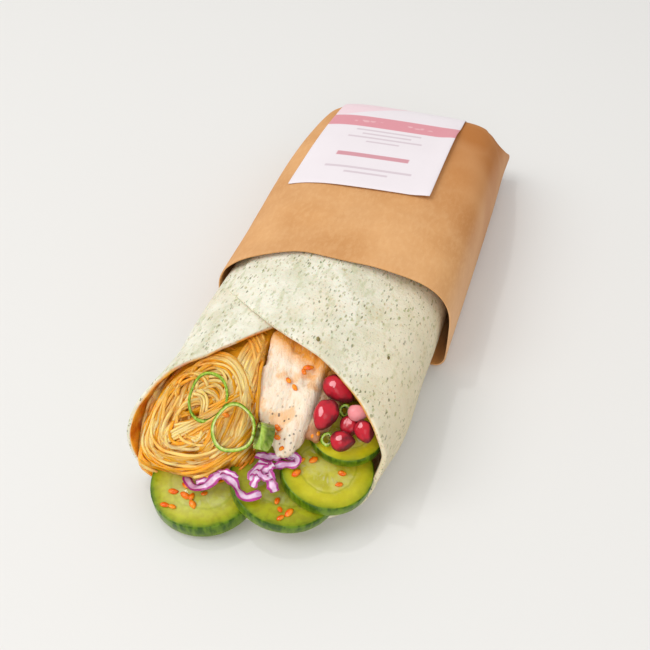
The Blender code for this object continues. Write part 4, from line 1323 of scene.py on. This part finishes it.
# on the slices: x and y from the middle of each
SLICE_SEEDS = {
    "cucumber_slice_1": ((-5.5, -3.5), (-8.5, -7.0), (-3.8, -7.2), (-1.5, -7.0),
                         (2.2, -4.5), (0.0, -9.5), (-9.0, -12.6), (-6.2, -12.4)),
    "cucumber_slice_2": ((0.6, -9.8), (2.6, -12.4), (5.8, -12.4), (3.8, -15.2)),
    "cucumber_slice_3": ((-9.0, -1.4), (-5.4, 0.4), (0.6, 3.4), (4.2, 3.6),
                         (5.4, -0.6), (5.8, -5.0), (-9.0, -6.8)),
}

# on the chicken and the noodles: x, y, z and size
LOOSE_SEEDS = (
    (3.4, 46.0, 36.0, 1.15), (6.4, 44.2, 34.6, 1.1), (8.6, 52.4, 38.6, 1.5),
    (7.6, 50.4, 37.8, 1.0), (5.8, 31.0, 27.8, 1.2), (4.8, 28.6, 26.6, 1.0),
    (7.2, 27.6, 26.2, 1.2), (8.2, 25.8, 25.0, 1.0), (14.6, 32.6, 28.2, 1.2),
    (16.8, 32.2, 28.4, 1.1), (18.6, 33.4, 28.6, 1.0), (-13.2, 27.0, 33.0, 1.1),
    (-36.0, 18.4, 14.0, 1.2), (-38.2, 14.6, 9.0, 0.9))


def add_grain(bm, place, rng, size=1.0, up=Vector((0.0, 0.0, 1.0))):
    """A flat, slightly dented grain lying on its side."""
    grain = bmesh.ops.create_icosphere(bm, subdivisions=2, radius=1.0)["verts"]
    seed = rng.uniform(0.0, 50.0)
    for vert in grain:
        vert.co *= 1.0 + 0.22 * noise.noise(vert.co * 1.3 + Vector((seed, 0.0, 0.0)))
    scale = Matrix.Diagonal((1.6 * size * MM, 0.95 * size * MM, 0.65 * size * MM, 1.0))
    turn = Matrix.Rotation(rng.uniform(0.0, math.pi), 4, "Z")
    nod = Matrix.Rotation(rng.uniform(-0.4, 0.4), 4, "X")
    stand = up.to_track_quat("Z", "Y").to_matrix().to_4x4()
    bmesh.ops.transform(bm, matrix=Matrix.Translation(place) @ stand @ nod @ turn @ scale,
                        verts=grain)


def build_grains():
    rng = random.Random(5)
    bm = bmesh.new()
    for name, spots in SLICE_SEEDS.items():
        thick = SLICES[name][5]
        for dx, dy in spots:
            place = lying(name) @ (Vector((dx, dy, thick + 0.3)) * MM)
            add_grain(bm, place, rng, rng.uniform(0.85, 1.25))
    meal = skin_of("noodles", "chicken_1", "chicken_2")
    for x, y, z, size in LOOSE_SEEDS:
        spot, normal, _, _ = meal.find_nearest(at(x, y, z))
        lift = 0.9 if x > 0 else 2.0
        add_grain(bm, spot + normal * lift * MM, rng, size * 0.8, normal)
    kept(bm, "sauce_seeds", sauce_finish(), (), 180.0)


build_grains()

# %% [markdown]
# ## Herb seeds
# Three whole seeds of the herb mix sit in the dough: olive grains two to three
# millimetres long. They are made like the sauce seeds and pressed into the sheet.

# %% Herb seed finish and grains


def herb_seed_finish():
    f = Finish("herb_seed", coat_weight=0.2, roughness=0.45)
    husk = f.clouds(900.0, where=f.stretched((1.0, 0.4, 1.0))).above(0.5, 0.2)
    return f.paint(base_color=f.tint(husk, (0.09, 0.07, 0.012), (0.26, 0.20, 0.05)))


HERB_SEEDS = ((9.3, 60.5, 44.0), (34.0, 66.0, 38.0), (-34.0, 72.0, 36.0))


def build_herb_seeds():
    rng = random.Random(8)
    bm = bmesh.new()
    for place in HERB_SEEDS:
        spot, normal, _, _ = tortilla_skin.find_nearest(at(*place))
        add_grain(bm, spot + normal * 0.1 * MM, rng, rng.uniform(0.6, 1.0), normal)
    kept(bm, "herb_seeds", herb_seed_finish(), (), 180.0)


build_herb_seeds()

# %% [markdown]
# ## Finish
# The last lines measure the box of the finished wrap and set it beside the box of its
# solids in one string.

# %% Measure and finish
fine_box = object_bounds()
lines = []
for title, corners in (("solids", cad_box), ("visual", fine_box)):
    lines.append('"%s": [[%s], [%s]]' % (title, *(", ".join("%.5f" % c for c in corner)
                                                 for corner in corners)))
"{" + ",\n ".join(lines) + "}"
